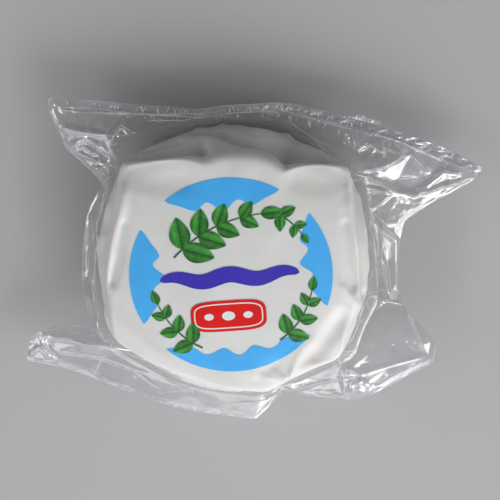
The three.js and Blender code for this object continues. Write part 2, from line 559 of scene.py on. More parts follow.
    def pleat_under(self, rows: list) -> list:
        """Pushes rows of the lower wall in and out in upright pleats.

        Args:
            rows: Arrays of x, y, z, one for each row.

        Returns:
            The same rows, moved towards or away from the wheel's axis.
        """
        draw = np.random.default_rng(29)
        courses = np.arange(self.pleats) * 360.0 / self.pleats + draw.uniform(-5.0, 5.0, self.pleats)
        widths = draw.uniform(1.6, 3.6, self.pleats)
        depths = draw.uniform(0.5, 1.5, self.pleats) * np.where(np.arange(self.pleats) % 3, 1.0, -1.0)
        leans = draw.uniform(-0.35, 0.35, self.pleats)
        pleated = []
        for row in rows:
            degrees = degrees_round(row)
            push = np.zeros(len(row))
            for course, width, depth, lean in zip(courses, widths, depths, leans):
                off = turned_from(degrees - course, lean * row[:, 2])
                push += depth * np.exp(-((off / width) ** 2))
            swell = smooth_step(row[:, 2], 0.5, 6.0) * smooth_step(-row[:, 2], -self.seam_height, -11.0)
            pleated.append(pushed_out(row, push * swell))
        return pleated

    def top_rows(
        self, angle: np.ndarray, spread: np.ndarray, rounding_rows: int, inset: float = 0.0,
    ) -> list:
        """Rows of points over the face and its rounded edge.

        Args:
            angle: The rows' directions, in degrees round the wheel.
            spread: How far out each row of the flat part is, as a share of it.
            rounding_rows: How many rows the rounded edge has.
            inset: How far inside the film the rows are.

        Returns:
            One array of points for each row, from the middle outwards.
        """
        turn = np.radians(angle)
        pull = self.pull(angle)
        rounding = self.rounding(angle)
        flat_radius = self.face_radius + pull - rounding
        rows = []
        for share in spread:
            radius = share * flat_radius
            rows.append(on_wheel(turn, radius, self.dome(radius, pull) - inset))
        middle = self.dome(flat_radius, pull) - rounding
        small = rounding - inset
        for quarter in shares(rounding_rows) * math.pi / 2:
            radius = flat_radius + small * math.sin(quarter)
            rows.append(on_wheel(turn, radius, middle + small * math.cos(quarter)))
        for row in rows:
            row[:, 2] += self.relief(row[:, 0], row[:, 1])
        return rows

    def under_rows(
        self, start: np.ndarray, outer: np.ndarray, meeting: np.ndarray, counts: tuple, inset: float = 0.0,
    ) -> list:
        """Rows of points from the waist down the pleated lower wall and round the foot.

        Args:
            start: The points at the waist.
            outer: What the rows leave towards.
            meeting: The waist's height at each of them.
            counts: How many rows the wall and the foot have.
            inset: How far inside the film the rows are.

        Returns:
            One array of points for each row, from the waist downwards.
        """
        turn = np.arctan2(outer[:, 1], outer[:, 0])
        small = self.foot_rounding - inset
        height = self.foot_rounding + self.tuck * (meeting - self.foot_rounding)
        inner = on_wheel(turn, self.wall_share * self.waist_radius - inset, height)
        foot_edge = on_wheel(turn, self.foot_radius + small, self.foot_rounding)
        rows = self.pleat_under(bridge(start, outer, inner, foot_edge, counts[0]))
        for quarter in shares(counts[1]) * math.pi / 2:
            radius = self.foot_radius + small * math.cos(quarter)
            rows.append(on_wheel(turn, radius, self.foot_rounding - small * math.sin(quarter)))
        return rows

    def face_height(self, x: np.ndarray, y: np.ndarray) -> np.ndarray:
        """Height of the film over the face.

        Args:
            x: The points' x.
            y: The points' y.

        Returns:
            Heights in millimetres.
        """
        pull = self.pull(np.degrees(np.arctan2(y, x)))
        return self.dome(np.hypot(x, y), pull) + self.relief(x, y)

    def crown(self) -> float:
        """Height of the film over the face's middle."""
        return float(self.face_height(np.zeros(1), np.zeros(1))[0])


def on_wheel(turn: np.ndarray, radius: np.ndarray, height: np.ndarray) -> np.ndarray:
    """Points at directions in radians, radii and heights, as rows of x, y, z."""
    flat = np.broadcast_arrays(radius * np.cos(turn), radius * np.sin(turn), height)
    return np.stack(flat, axis=-1)


def bridge(start: np.ndarray, a: np.ndarray, b: np.ndarray, end: np.ndarray, steps: int) -> list:
    """Rows of points along smooth curves that run from start to end.

    Args:
        start: Where the curves start, which is no row of its own.
        a: What they leave towards.
        b: What they arrive from.
        end: Where they end, which is the last row.
        steps: How many rows there are.

    Returns:
        One array of points for each row.
    """
    rows = []
    for t in shares(steps):
        keep = 1.0 - t
        rows.append(keep**3 * start + 3 * keep**2 * t * a + 3 * keep * t**2 * b + t**3 * end)
    return rows


@dataclass(frozen=True)
class BagOutline:
    """The bag's outer edge, as x, y, height, the direction on the wheel it hangs from, sharpness."""

    points: tuple = (
        (97.3, 34.5, 13, 38, 1),
        (95.4, 31.4, 13, 37, 1),
        (76.3, 21.1, 14.5, 26, 0),
        (66.6, 14.6, 15, 17, 1),
        (66.0, 10.0, 14, 12, 0),
        (64.4, 1.5, 12.5, 2, 0),
        (64.9, -10.5, 12.7, 353, 0),
        (65.8, -18.9, 14.5, 344, 1),
        (70.9, -24.4, 16, 338, 0),
        (80.4, -35.3, 17.5, 331, 1),
        (78.9, -43.7, 17.5, 325, 1),
        (65.8, -51.0, 17, 318, 0),
        (54.3, -58.9, 15.5, 311, 0),
        (45.5, -61.8, 13.5, 305, 1),
        (33.0, -60.4, 12, 297, 0),
        (23.6, -58.9, 12, 291, 0),
        (20.8, -56.9, 12, 289, 1),
        (14.0, -64.5, 12.8, 283, 0),
        (8.9, -70.0, 12, 277, 1),
        (-17.0, -66.3, 13.5, 256, 0),
        (-36.5, -59.9, 14.2, 242, 0),
        (-53.0, -52.7, 14.5, 228, 0),
        (-69.0, -46.5, 14.3, 220, 0),
        (-82.6, -43.7, 14, 214, 1),
        (-82.0, -36.3, 14.5, 211.5, 0),
        (-79.0, -31.0, 15, 209.5, 0),
        (-69.3, -27.6, 16, 207, 0),
        (-61.5, -29.8, 14.5, 205.5, 0),
        (-57.0, -30.2, 13, 204.5, 1),
        (-57.0, -26.0, 12.8, 201.5, 0),
        (-59.2, -20.4, 12.5, 198, 0),
        (-60.0, -9.0, 12.5, 188, 0),
        (-59.3, 3.0, 12.5, 177, 0),
        (-57.2, 18.0, 13.5, 163, 0),
        (-52.6, 26.0, 14.5, 154, 0),
        (-50.6, 29.0, 15, 150, 1),
        (-54.4, 34.4, 15.4, 147, 0),
        (-64.4, 43.4, 16, 143, 1),
        (-67.2, 52.4, 17, 139.5, 0),
        (-70.6, 57.6, 18, 137.6, 0),
        (-70.0, 64.0, 18.5, 136, 1),
        (-50.5, 62.6, 17, 128, 0),
        (-31.0, 60.4, 16.6, 115, 0),
        (-12.6, 58.9, 16.5, 102, 0),
        (0.7, 60.9, 16.5, 89, 0),
        (18.4, 61.8, 15.5, 74, 0),
        (26.3, 60.0, 15.6, 68, 0),
        (41.5, 56.6, 16, 57, 0),
        (57.0, 52.6, 16, 50, 0),
        (80.0, 44.0, 14.5, 43, 0),
    )

    def stations(self, count: int) -> tuple:
        """Points evenly along the edge, anticlockwise, and the directions that they hang from.

        Args:
            count: How many points there are.

        Returns:
            The points as rows of x, y, z, and the directions in degrees.
        """
        given = np.array(self.points[::-1], float)
        closed = np.vstack([given, given[:1]])
        closed[:, 3] = np.degrees(np.unwrap(np.radians(closed[:, 3])))
        _, starts = stretches(closed)
        places = np.arange(count) / count * starts[-1]
        rows = np.stack([np.interp(places, starts, closed[:, k]) for k in range(5)], axis=1)
        free = 1.0 - np.clip(rows[:, 4:5], 0.0, 0.95)
        turn = rows[:, 3].copy()
        for _ in range(30):
            middle = 0.5 * (np.roll(rows[:, :3], 1, axis=0) + np.roll(rows[:, :3], -1, axis=0))
            rows[:, :3] += free * 0.6 * (middle - rows[:, :3])
        return rows[:, :3], turn


TOP_SEAM = [(-72, 64), (-50, 62.6), (-31, 60.4), (-12.6, 58.9), (0.7, 60.9), (18.4, 61.8), (41.5, 56.6),
            (57, 52.6), (80, 44), (98, 34.4)]
BOTTOM_SEAM = [(-84, -44.1), (-69, -46.5), (-53, -52.7), (-36.5, -59.9), (-17, -66.3), (9, -70.2)]

UPPER_RIGHT_FOLDS = (
    Fold(((46, 35, 2.0), (55, 36.5, 2.4), (64, 40.3, 1.6)), 0.1),
    Fold(((46, 35, 2.0), (57, 31, 1.9), (62, 26.5, 2.4)), 0.1),
    Fold(((64, 40.3, 1.6), (68.5, 41.2, 0.4), (76.5, 32.5, 1.4)), 0.15),
    Fold(((62, 26.5, 2.4), (53, 19, 1.2)), 0.1),
    Fold(((62, 26.5, 2.4), (70.5, 25.2, 1.6), (79.8, 28.5, 1.6), (92, 31, 1.2)), 0.2),
    Fold(((76.5, 32.5, 1.4), (81, 35, 1.8), (88, 32.8, 1.2)), 0.15),
    Fold(((53, 19, 1.2), (60, 13.8, 1.6), (66, 14.2, 1.8)), 0.3),
    Fold(((45, 49, 1.6), (48, 43, -0.6), (53, 46, 1.6)), 0.15),
)
RIGHT_FOLDS = (
    Fold(((53, 19, 1.2), (57, 12, 1.8), (62, 7.5, 2.0), (64.5, 7, 1.6)), 0.4),
    Fold(((53, 19, 1.2), (56, 7, 0.7), (58.5, -5, 0.7), (61, -17, 0.9)), 0.35),
    Fold(((53, 19, 1.2), (54.5, 6, 0.2), (56, -6, 0.2), (56.5, -16, 0.6)), 0.2),
    Fold(((64.5, 7, 1.6), (64.2, -2, 1.2), (64.4, -14, 1.0)), 0.3),
)
LOWER_RIGHT_FOLDS = (
    Fold(((50, -19, 1.0), (54, -15, 1.8), (60, -18, 0.9), (67, -20, 1.4), (71, -27, 0.5), (78, -33, 0.5))),
    Fold(((67, -20, 1.4), (74, -35, 1.0), (77, -40, 0.3))),
    Fold(((50, -48, 0.7), (63, -44, 0.3), (77, -40, 0.3))),
    Fold(((42, -43, 1.0), (50, -48, 0.7), (54, -54, 0.8))),
    Fold(((44, -51, 1.8), (44, -58, 0.6), (50, -54, 2.0))),
    Fold(((24, -56, 0.5), (41, -51, 0.5), (44, -51, 1.8))),
    Fold(((59, -26, 0.2), (62, -36, 0.1)), 0.0),
)
BOTTOM_FOLDS = (
    Fold(((-75, -32, 2.0), (-66, -32.5, 1.8), (-56, -35, 2.0), (-49, -36.5, 2.2), (-39, -40, 1.6),
          (-29, -44, 1.2), (-13, -51, 1.0), (4, -58, 0.5)), 0.45),
    Fold(((-72, -39, -0.8), (-53, -43, -1.5), (-38, -49, -1.3), (-28, -57, -0.2))),
    Fold(((-81, -41, 0.3), (-76, -36.5, 1.6), (-71, -42, 0.3)), 0.45),
    Fold(((-80, -36, 0.8), (-76, -30, 1.6), (-74, -34, 0.0))),
    Fold(((-76, -30, 1.6), (-67, -28, 0.8), (-58, -31, 0.5), (-46, -31, 1.0))),
)
LEFT_FOLDS = (
    Fold(((-48, 28, 1.0), (-53, 14, 1.3), (-53.5, 3, 1.2), (-55, -17, 1.0), (-53, -24, 0.8)), 0.2),
    Fold(((-56, 16, -0.4), (-57, -9, -0.4)), 0.0),
)
UPPER_LEFT_FOLDS = (
    Fold(((-66, 52.5, 1.6), (-56.4, 51.2, 2.6), (-47.5, 50.2, 2.4)), 0.1),
    Fold(((-66, 50, 0.0), (-62.4, 44.2, 1.0), (-53, 40.1, 1.6), (-46.5, 36.5, 1.0)), 0.25),
    Fold(((-62.4, 44.2, 1.0), (-57, 47.6, 1.8), (-51.8, 46.2, 1.4), (-47, 41.3, 1.0)), 0.1),
    Fold(((-47.5, 50.2, 2.4), (-46, 43.3, 2.4), (-44, 35, 1.6)), 0.1),
    Fold(((-47.5, 50.2, 2.4), (-42.5, 53.6, 0.8), (-37, 49.9, 0.8)), 0.1),
    Fold(((-54, 36, 1.2), (-48.6, 36, 1.6), (-47.5, 33, 1.4), (-50, 30.5, 0.6)), 0.1),
)
TOP_FOLDS = (
    Fold(((-33, 55, 0.5), (-19, 54.4, 0.5), (-13, 56.4, 0.5))),
    Fold(((20, 55, 0.8), (27, 50, 0.4), (36, 44, 0.6))),
    Fold((
        (-70, 59.5, 0.3), (-56, 58, 0.3), (-41, 58, 0.3), (-29, 57, 0.3), (-13, 57.3, 0.4), (-4, 58.6, 0.3),
    )),
    Fold(((17, 58, 0.4), (33, 54.5, 0.6), (43, 52, 0.5), (60, 48, 0.6), (66, 45.5, 0.4), (81, 38.5, 0.6),
          (92, 34, 0.4)), 0.5),
)
FOLDS = (
    UPPER_RIGHT_FOLDS + RIGHT_FOLDS + LOWER_RIGHT_FOLDS + BOTTOM_FOLDS + LEFT_FOLDS
    + UPPER_LEFT_FOLDS + TOP_FOLDS
)

CRUMPLES = (
    Crumple((-57, 46), 13.0, 0.55),
    Crumple((-44, 53), 8.0, 0.35),
    Crumple((-50, 34), 6.0, 0.5),
    Crumple((82, 33), 9.0, 1.0),
    Crumple((72, 27), 6.0, 0.6),
    Crumple((53, 27.5), 6.0, 0.6),
    Crumple((50, 47), 7.0, 0.4),
    Crumple((62, 17), 5.0, 0.3),
    Crumple((-76, -36), 8.0, 1.0),
    Crumple((-55, -38.5), 5.0, 0.6),
    Crumple((-38, -45.5), 4.5, 0.5),
    Crumple((47, -52), 8.0, 1.0),
    Crumple((63, -38), 5.0, 0.5),
    Crumple((58, -18), 4.0, 0.5),
)

ROUND_FOLDS = (
    Crease([(-66.0, 52.8), (-64.4, 52.4), (-56.4, 51.2), (-47.7, 50.2)], 1.1, 2.2),
    Crease([(-46.6, 49.5), (-45.6, 43.3), (-43.8, 36.0)], 1.4, 2.6, 0.06),
    Crease([(-62.4, 44.2), (-58.5, 47.2), (-55.0, 48.2), (-51.8, 46.2), (-47.1, 41.3)], 1.2, 2.0),
    Crease([(-60.9, 43.7), (-57.0, 45.2), (-52.8, 42.9), (-54.8, 41.7)], 0.9, 1.6),
    Crease([(-62.1, 43.0), (-53.0, 40.1), (-46.5, 36.7)], 0.8, 1.6),
    Crease([(-56.6, 46.2), (-47.2, 40.9)], -0.8, 1.4),
    Crease([(-54.1, 35.9), (-51.2, 36.8), (-48.4, 35.9), (-47.5, 32.9), (-49.5, 30.5)], 1.0, 1.8),
    Crease([(-46.3, 49.3), (-42.8, 53.2)], 0.9, 1.6),
    Crease([(-42.2, 53.8), (-39.4, 50.5), (-37.1, 49.9)], 0.9, 1.7),
    Crease([(-60.2, 57.2), (-53.8, 52.5)], 0.7, 2.6),
    Crease([(-42.9, 46.2), (-39.8, 47.3)], 0.6, 1.4),
    Crease([(-65.5, 60.5), (-64.0, 57.6)], 0.5, 1.5),
    Crease([(-60.4, 61.0), (-59.6, 58.0)], 0.6, 1.6),
    Crease([(48.0, 35.2), (56.0, 37.6), (64.0, 40.3)], 0.9, 1.9),
    Crease([(54.5, 32.5), (54.3, 36.7), (56.8, 45.4)], 0.7, 1.4),
    Crease([(56.8, 45.4), (57.5, 37.5), (54.9, 32.3)], 0.6, 1.3),
    Crease([(47.1, 34.5), (53.9, 44.6)], 0.7, 1.4),
    Crease([(57.4, 45.7), (63.4, 42.3), (63.5, 40.1)], 0.6, 1.5),
    Crease([(68.5, 41.2), (75.2, 33.3)], 0.5, 1.5),
    Crease([(47.1, 32.5), (52.0, 33.0), (57.6, 30.7), (62.0, 26.7)], 1.2, 1.9),
    Crease([(47.7, 28.2), (53.1, 28.2), (60.5, 26.9)], 1.3, 1.7),
    Crease([(59.9, 26.4), (52.9, 19.6)], 1.0, 1.8),
    Crease([(69.8, 25.7), (76.5, 30.3), (80.8, 34.3), (88.0, 32.5)], 1.1, 2.0),
    Crease([(65.6, 27.4), (70.5, 25.2), (79.8, 28.5), (89.7, 30.8)], 1.0, 1.7),
    Crease([(44.7, 48.1), (47.0, 42.8), (50.1, 46.4)], 0.9, 1.6),
    Crease([(53.4, 15.4), (58.6, 10.6), (63.4, 7.0)], 1.0, 1.7, 0.06),
    Crease([(63.4, 7.0), (63.2, -2.0), (63.4, -14.0)], 0.9, 1.6, 0.06),
    Crease([(54.1, 12.4), (58.9, -2.7), (61.6, -17.1)], 0.7, 1.3),
    Crease([(56.6, 3.3), (58.0, -8.2)], 0.4, 1.2),
    Crease([(-82.1, -41.4), (-76.8, -36.8), (-72.2, -42.3)], 0.9, 1.7),
    Crease([(-74.6, -32.8), (-62.8, -33.7), (-52.9, -35.8), (-45.1, -38.7)], 0.9, 1.6),
    Crease([(44.4, -56.9), (47.2, -51.8), (51.1, -50.1)], 0.9, 1.8),
    Crease([(51.1, -50.9), (54.0, -53.1), (54.0, -57.0)], 0.9, 1.8),
)


@dataclass(frozen=True)
class Overlap:
    """A stretch of the flaps where the film is folded over and lies double."""

    corners: tuple
    weight: float = 1.0

    def covers(self, x: np.ndarray, y: np.ndarray) -> np.ndarray:
        """How much of the second layer shows at points, from 0 to 1."""
        inside = np.zeros(np.shape(x), bool)
        ends = self.corners[1:] + self.corners[:1]
        for (x0, y0), (x1, y1) in zip(self.corners, ends):
            spans = (y0 > y) != (y1 > y)
            rise = y1 - y0 if y1 != y0 else 1.0
            inside ^= spans & (x < x0 + (x1 - x0) * (y - y0) / rise)
        return self.weight * inside


OVERLAPS = (
    Overlap(((-75, -32), (-56, -35), (-39, -40), (-13, -51), (4, -58), (10, -70), (-17, -67), (-53, -53),
             (-84, -44)), 0.4),
    Overlap(((50, -49), (63, -45), (78, -41), (80, -45), (66, -53), (54, -61), (46, -63), (44, -51))),
    Overlap(((-66, 53), (-48, 51), (-47.5, 43.5), (-54, 47), (-60, 45)), 2.6),
    Overlap(((-64, 47), (-57, 48), (-51, 46), (-46, 40), (-53, 40), (-62, 43)), 1.6),
    Overlap(((46, 35), (64, 41), (69, 41), (76, 32.5), (70, 25), (62, 26.5), (56, 31)), 0.9),
    Overlap(((-47.5, 43.5), (-48, 51), (-46, 52), (-43, 44), (-41, 35), (-45, 35)), 3.0),
)

WALL_CRUMPLES = (
    Crumple((138, 27), 8.0, 0.9),
    Crumple((150, 22), 6.0, 0.7),
    Crumple((41, 28), 7.0, 0.8),
    Crumple((25, 27), 4.0, 0.8),
    Crumple((-16, 23), 4.0, 0.8),
    Crumple((-41, 23), 6.0, 0.6),
    Crumple((-146, 24), 6.0, 0.5),
)
LOOSE_FOLDS = (
    Crease([(25, 29), (12, 27), (3, 25), (-11, 22)], 2.6, 3.0, 0.25),
    Crease([(142, 31), (152, 25), (166, 19)], 1.6, 2.4, 0.25),
    Crease([(133, 30), (126, 24), (121, 19)], 1.4, 2.4, 0.25),
    Crease([(46, 30), (51, 25), (58, 20)], 1.4, 2.4, 0.25),
    Crease([(-38, 30), (-30, 24), (-24, 19)], 1.0, 2.4, 0.25),
)

CALM_ZONES = (
    Crumple((-28, -52), 24.0, 0.75),
    Crumple((-8, -60), 18.0, 0.75),
    Crumple((-57, -4), 16.0, 0.6),
    Crumple((66, -34), 11.0, 0.8),
    Crumple((64, -28), 8.0, 0.6),
    Crumple((60, 4), 9.0, 0.8),
    Crumple((60, -9), 9.0, 0.8),
    Crumple((66, 34), 8.0, 0.85),
    Crumple((58, 21), 5.0, 0.8),
    Crumple((-62, -42), 14.0, 0.7),
)


class FilmRelief:
    """The relief of the free film: waves, broad folds, facets, drawn streaks and the weld's zigzag."""

    wave_height = 0.6
    waves = ((9, 1.1, 1.0), (17, 2.3, 0.6))
    weld_width = 3.4
    bottom_weld_share = 0.8
    lively_from = (0.45, 0.6)
    lively_reach = 4.5
    lively_crush = 0.7
    most_crush = 1.2
    most_calm = 0.85
    wall_stretch = 0.6
    streak_stretch = 3.4
    fine_streak_stretch = 4.5
    streak_height = 0.20
    fine_streak_height = 0.08
    weld_height = 0.18
    lively_weld_height = 0.28

    def __init__(self) -> None:
        """Scatters all facets."""
        self.broad = FacetField(8.0, 11, 0.45, FOLDS)
        self.middling = FacetField(4.0, 23, 1.0)
        self.small = FacetField(2.4, 37, 1.0)
        self.streaks = FacetField(3.0, 51, 1.0, half_size=(130.0, 80.0))
        self.fine_streaks = FacetField(1.6, 57, 1.0, half_size=(130.0, 60.0))
        self.zigzag = FacetField(1.7, 63, 1.0, half_size=(300.0, 12.0))

    def crush(self, x: np.ndarray, y: np.ndarray) -> np.ndarray:
        """How crumpled the film is at points."""
        return sum(zone.weight(x, y) for zone in CRUMPLES)

    def loosen(self, rows: list, seam_height: float) -> tuple:
        """Lifts the film off the cheese's wall in folds and crumples.

        Args:
            rows: Arrays of x, y, z, one for each row of the wall.
            seam_height: Height at which the wall ends.

        Returns:
            The same rows, moved outwards, and how loose each point is, from 0 to 1.
        """
        loosened = []
        loose = []
        for row in rows:
            degrees = degrees_round(row)
            crush = sum(zone.weight(degrees, row[:, 2]) for zone in WALL_CRUMPLES)
            place = (self.wall_stretch * degrees, row[:, 2])
            facets = self.middling.at(*place) + 0.4 * self.small.at(*place)
            push = crush * np.maximum(0.0, 0.6 + 1.2 * facets)
            for fold in LOOSE_FOLDS:
                push = push + fold.lift(degrees, row[:, 2])
            push = push * smooth_step(row[:, 2], seam_height - 1.0, seam_height + 4.0)
            loosened.append(pushed_out(row, push))
            loose.append(smooth_step(push, 0.15, 0.9))
        return loosened, np.array(loose)

    def calm(self, x: np.ndarray, y: np.ndarray) -> np.ndarray:
        """How smooth the film lies at points, from 0 to 1."""
        return np.clip(sum(zone.weight(x, y) for zone in CALM_ZONES), 0.0, self.most_calm)

    def lifts(
        self, x: np.ndarray, y: np.ndarray, along: np.ndarray, out: np.ndarray, inward: np.ndarray,
    ) -> tuple:
        """What creases and crumples do to the flaps.

        Args:
            x: The points' x.
            y: The points' y.
            along: How far round the wheel the points are.
            out: How far out from the wheel the points are.
            inward: How far in from the bag's edge the points are.

        Returns:
            The lift of both films, the further lift of the upper and of the lower film, and the
            marks that say how crumpled, how welded and how doubled the film is.
        """
        turn = np.arctan2(y, x)
        swings = [share * np.sin(count * turn + phase) for count, phase, share in self.waves]
        wave = self.wave_height * sum(swings)
        beads = np.zeros(x.shape)
        for fold in FOLDS:
            beads = np.maximum(beads, fold.crest(x, y))
        top, along_top = distance_to_line(x, y, TOP_SEAM)
        bottom, _ = distance_to_line(x, y, BOTTOM_SEAM)
        bottom_width = self.weld_width * self.bottom_weld_share
        weld = np.maximum(top < self.weld_width, bottom < bottom_width).astype(float)
        lively = smooth_step(along_top, *self.lively_from) * smooth_step(self.lively_reach - top, 0.0, 2.0)
        crush = np.clip(self.crush(x, y) + self.lively_crush * lively, 0.0, self.most_crush)
        free = 1.0 - self.calm(x, y)
        middling = self.middling.at(x, y)
        small = self.small.at(x, y)
        streaks = self.streaks.at(along / self.streak_stretch - 75.0, out) * free
        fine_streaks = self.fine_streaks.at(along / self.fine_streak_stretch - 60.0, out) * free
        zigzag = self.zigzag.at(along - 300.0, inward)
        drawn = self.streak_height * streaks + self.fine_streak_height * fine_streaks
        drawn = drawn + (self.weld_height + self.lively_weld_height * lively) * weld * zigzag
        facets = (0.07 * free + 0.42 * crush) * middling + (0.03 * free + 0.2 * crush) * small
        double = np.zeros(x.shape)
        for overlap in OVERLAPS:
            double = np.maximum(double, overlap.covers(x, y))
        rounds = sum(fold.lift(x, y) for fold in ROUND_FOLDS)
        both = free * wave + self.broad.at(x, y) + beads + rounds + drawn + facets
        upper = (0.03 + 0.12 * crush) * middling + 0.08 * streaks
        lower = -0.25 * middling - 0.1 * crush * small - 0.15 * fine_streaks
        return both, upper, lower, {"crush": crush, "weld": weld, "double": double}


@dataclass(frozen=True)
class BagFilm:
    """The clear bag: two films that meet round the wheel's waist and are welded at the edge."""

    wheel: WheelShape
    outline: BagOutline
    relief: FilmRelief
    stations: int = 690
    face_rings: int = 14
    rounding_rings: int = 5
    wall_rings: int = 16
    flap_rings: int = 38
    hem_rings: int = 9
    hem_width: float = 4.4
    hem_bead: float = 0.14
    under_wall_rings: int = 8
    foot_rings: int = 4
    underside_rings: int = 3
    bridge_reach: float = 3.4
    bridge_share: float = 0.3
    half_gap: float = 0.35
    weld_width: float = 3.4
    face_spread: float = 0.85
    bridge_pull: float = 0.3
    hem_share: float = 0.5
    least_relief: float = 0.35
    relief_reach: float = 0.2
    bead_at: float = 0.45
    bead_width: float = 0.3
    wall_off: float = 0.5
    wall_start: float = 0.55
    wall_end: float = 0.15
    under_start: float = 0.3
    loose_cling: float = 0.8

    def films(self, edge: np.ndarray, waist: np.ndarray, pull: np.ndarray) -> tuple:
        """The flap's two films, from where they touch to the bag's edge.

        Args:
            edge: The points of the bag's edge.
            waist: The wheel's points that the flap comes from.
            pull: The extra radius that the corners give to these.

        Returns:
            The rings of the upper and of the lower film, and their marks.
        """
        width = np.linalg.norm(edge - waist, axis=1)
        touch = np.minimum(self.bridge_reach + self.bridge_pull * pull, self.bridge_share * width) / width
        hem = np.minimum(self.hem_width, self.hem_share * width) / width
        inner = (np.arange(self.flap_rings) / self.flap_rings)[:, None]
        outer = (np.arange(self.hem_rings + 1.0) / self.hem_rings)[:, None]
        share = np.vstack([touch + (1.0 - hem - touch) * inner, 1.0 - hem * (1.0 - outer)])
        middle = waist[None] + (edge - waist)[None] * share[..., None]
        round_wheel = np.cumsum(np.hypot(*np.diff(edge[:, :2], axis=0, prepend=edge[-1:, :2]).T))
        along = np.broadcast_to(round_wheel, share.shape)
        inward = (1.0 - share) * width
        both, upper, lower, marks = self.relief.lifts(
            middle[..., 0], middle[..., 1], along, share * width, inward,
        )
        rise = smooth_step((share - touch) / (1.0 - touch), 0.0, self.relief_reach)
        middle[..., 2] += both * (self.least_relief + (1.0 - self.least_relief) * rise)
        closing = np.clip(inward / self.weld_width, 0.0, 1.0)
        bead = self.hem_bead * np.exp(-(((inward - self.bead_at) / self.bead_width) ** 2))
        gap = self.half_gap * closing**1.5 + bead
        above = middle.copy()
        above[..., 2] += gap + np.abs(upper) * closing
        beneath = middle.copy()
        beneath[..., 2] -= gap + np.abs(lower) * closing
        above[-1] = middle[-1]
        beneath[-1] = middle[-1]
        return above, beneath, marks

    def rows(self) -> tuple:
        """The bag's surface as rings of points from the face's middle to the underside's middle.

        Returns:
            The rings, and the marks that say how crumpled, welded, doubled and tight they are.
        """
        wheel = self.wheel
        edge, hangs = self.outline.stations(self.stations)
        turn = np.radians(hangs)
        pull = wheel.pull(hangs)
        waist_radius = wheel.waist_radius + wheel.corner_waist * pull
        meeting = wheel.seam_height + wheel.corner_lift * pull
        above, beneath, marks = self.films(edge, on_wheel(turn, waist_radius, meeting), pull)
        rings = wheel.top_rows(hangs, shares(self.face_rings) ** self.face_spread, self.rounding_rings)

        # From the face's edge down to the flap
        rim = rings[-1]
        drop = rim[:, 2] - meeting
        steepest = np.maximum(wheel.face_radius + pull, wheel.wall_share * waist_radius)
        steep = on_wheel(turn, steepest, rim[:, 2] - self.wall_start * drop)
        low = on_wheel(turn, waist_radius + self.wall_off, meeting + self.wall_end * drop)
        wall = wheel.fold_wall(bridge(rim, steep, low, above[0], self.wall_rings))
        wall, loose = self.relief.loosen(wall, wheel.seam_height)
        first_wall = len(rings)
        rings += wall
        first_flap = len(rings) - 1
        last = self.flap_rings + self.hem_rings
        order = [*range(1, last + 1), *range(last - 1, -1, -1)]
        rings += [above[k] for k in order[:last]] + [beneath[k] for k in order[last:]]
        last_flap = len(rings)

        # Back under the waist to the flat underside
        height = meeting - self.under_start * (meeting - wheel.foot_rounding)
        outer = on_wheel(turn, waist_radius + self.wall_off, height)
        rings += wheel.under_rows(beneath[0], outer, meeting, (self.under_wall_rings, self.foot_rings))
        for ring in (np.arange(self.underside_rings) + 1.0) / (self.underside_rings + 1):
            rings.append(on_wheel(turn, wheel.foot_radius * (1 - ring), 0.0))
        on_bag = {}
        for name, values in marks.items():
            whole = np.zeros((len(rings), self.stations))
            whole[first_flap + 1:last_flap] = values[order]
            on_bag[name] = whole.ravel()
        tight = np.ones((len(rings), self.stations))
        tight[first_wall:first_flap + 1] = 1.0 - self.loose_cling * loose
        tight[first_flap - 1:last_flap + 2] = 0.0
        on_bag["cling"] = tight.ravel()
        return rings, on_bag

    def build(self) -> bpy.types.Object:
        """Builds the bag as one closed mesh.

        Returns:
            The bag's object.
        """
        rings, marks = self.rows()
        bag = closed_piece("clear_bag", rings, self.wheel.crown(), 0.0)
        for name, values in marks.items():
            give_values(bag, name, np.append(values, values[[0, -1]]))
        return bag


def skin_of(bag: bpy.types.Object) -> BVHTree:
    """The film's surface, in millimetres from the wheel's middle, for rays to find."""
    centre = np.array([*WHEEL_MIDDLE, 0.0])
    corners = np.array([vertex.co for vertex in bag.data.vertices]) / METRE - centre
    return BVHTree.FromPolygons(corners.tolist(), [tuple(face.vertices) for face in bag.data.polygons])


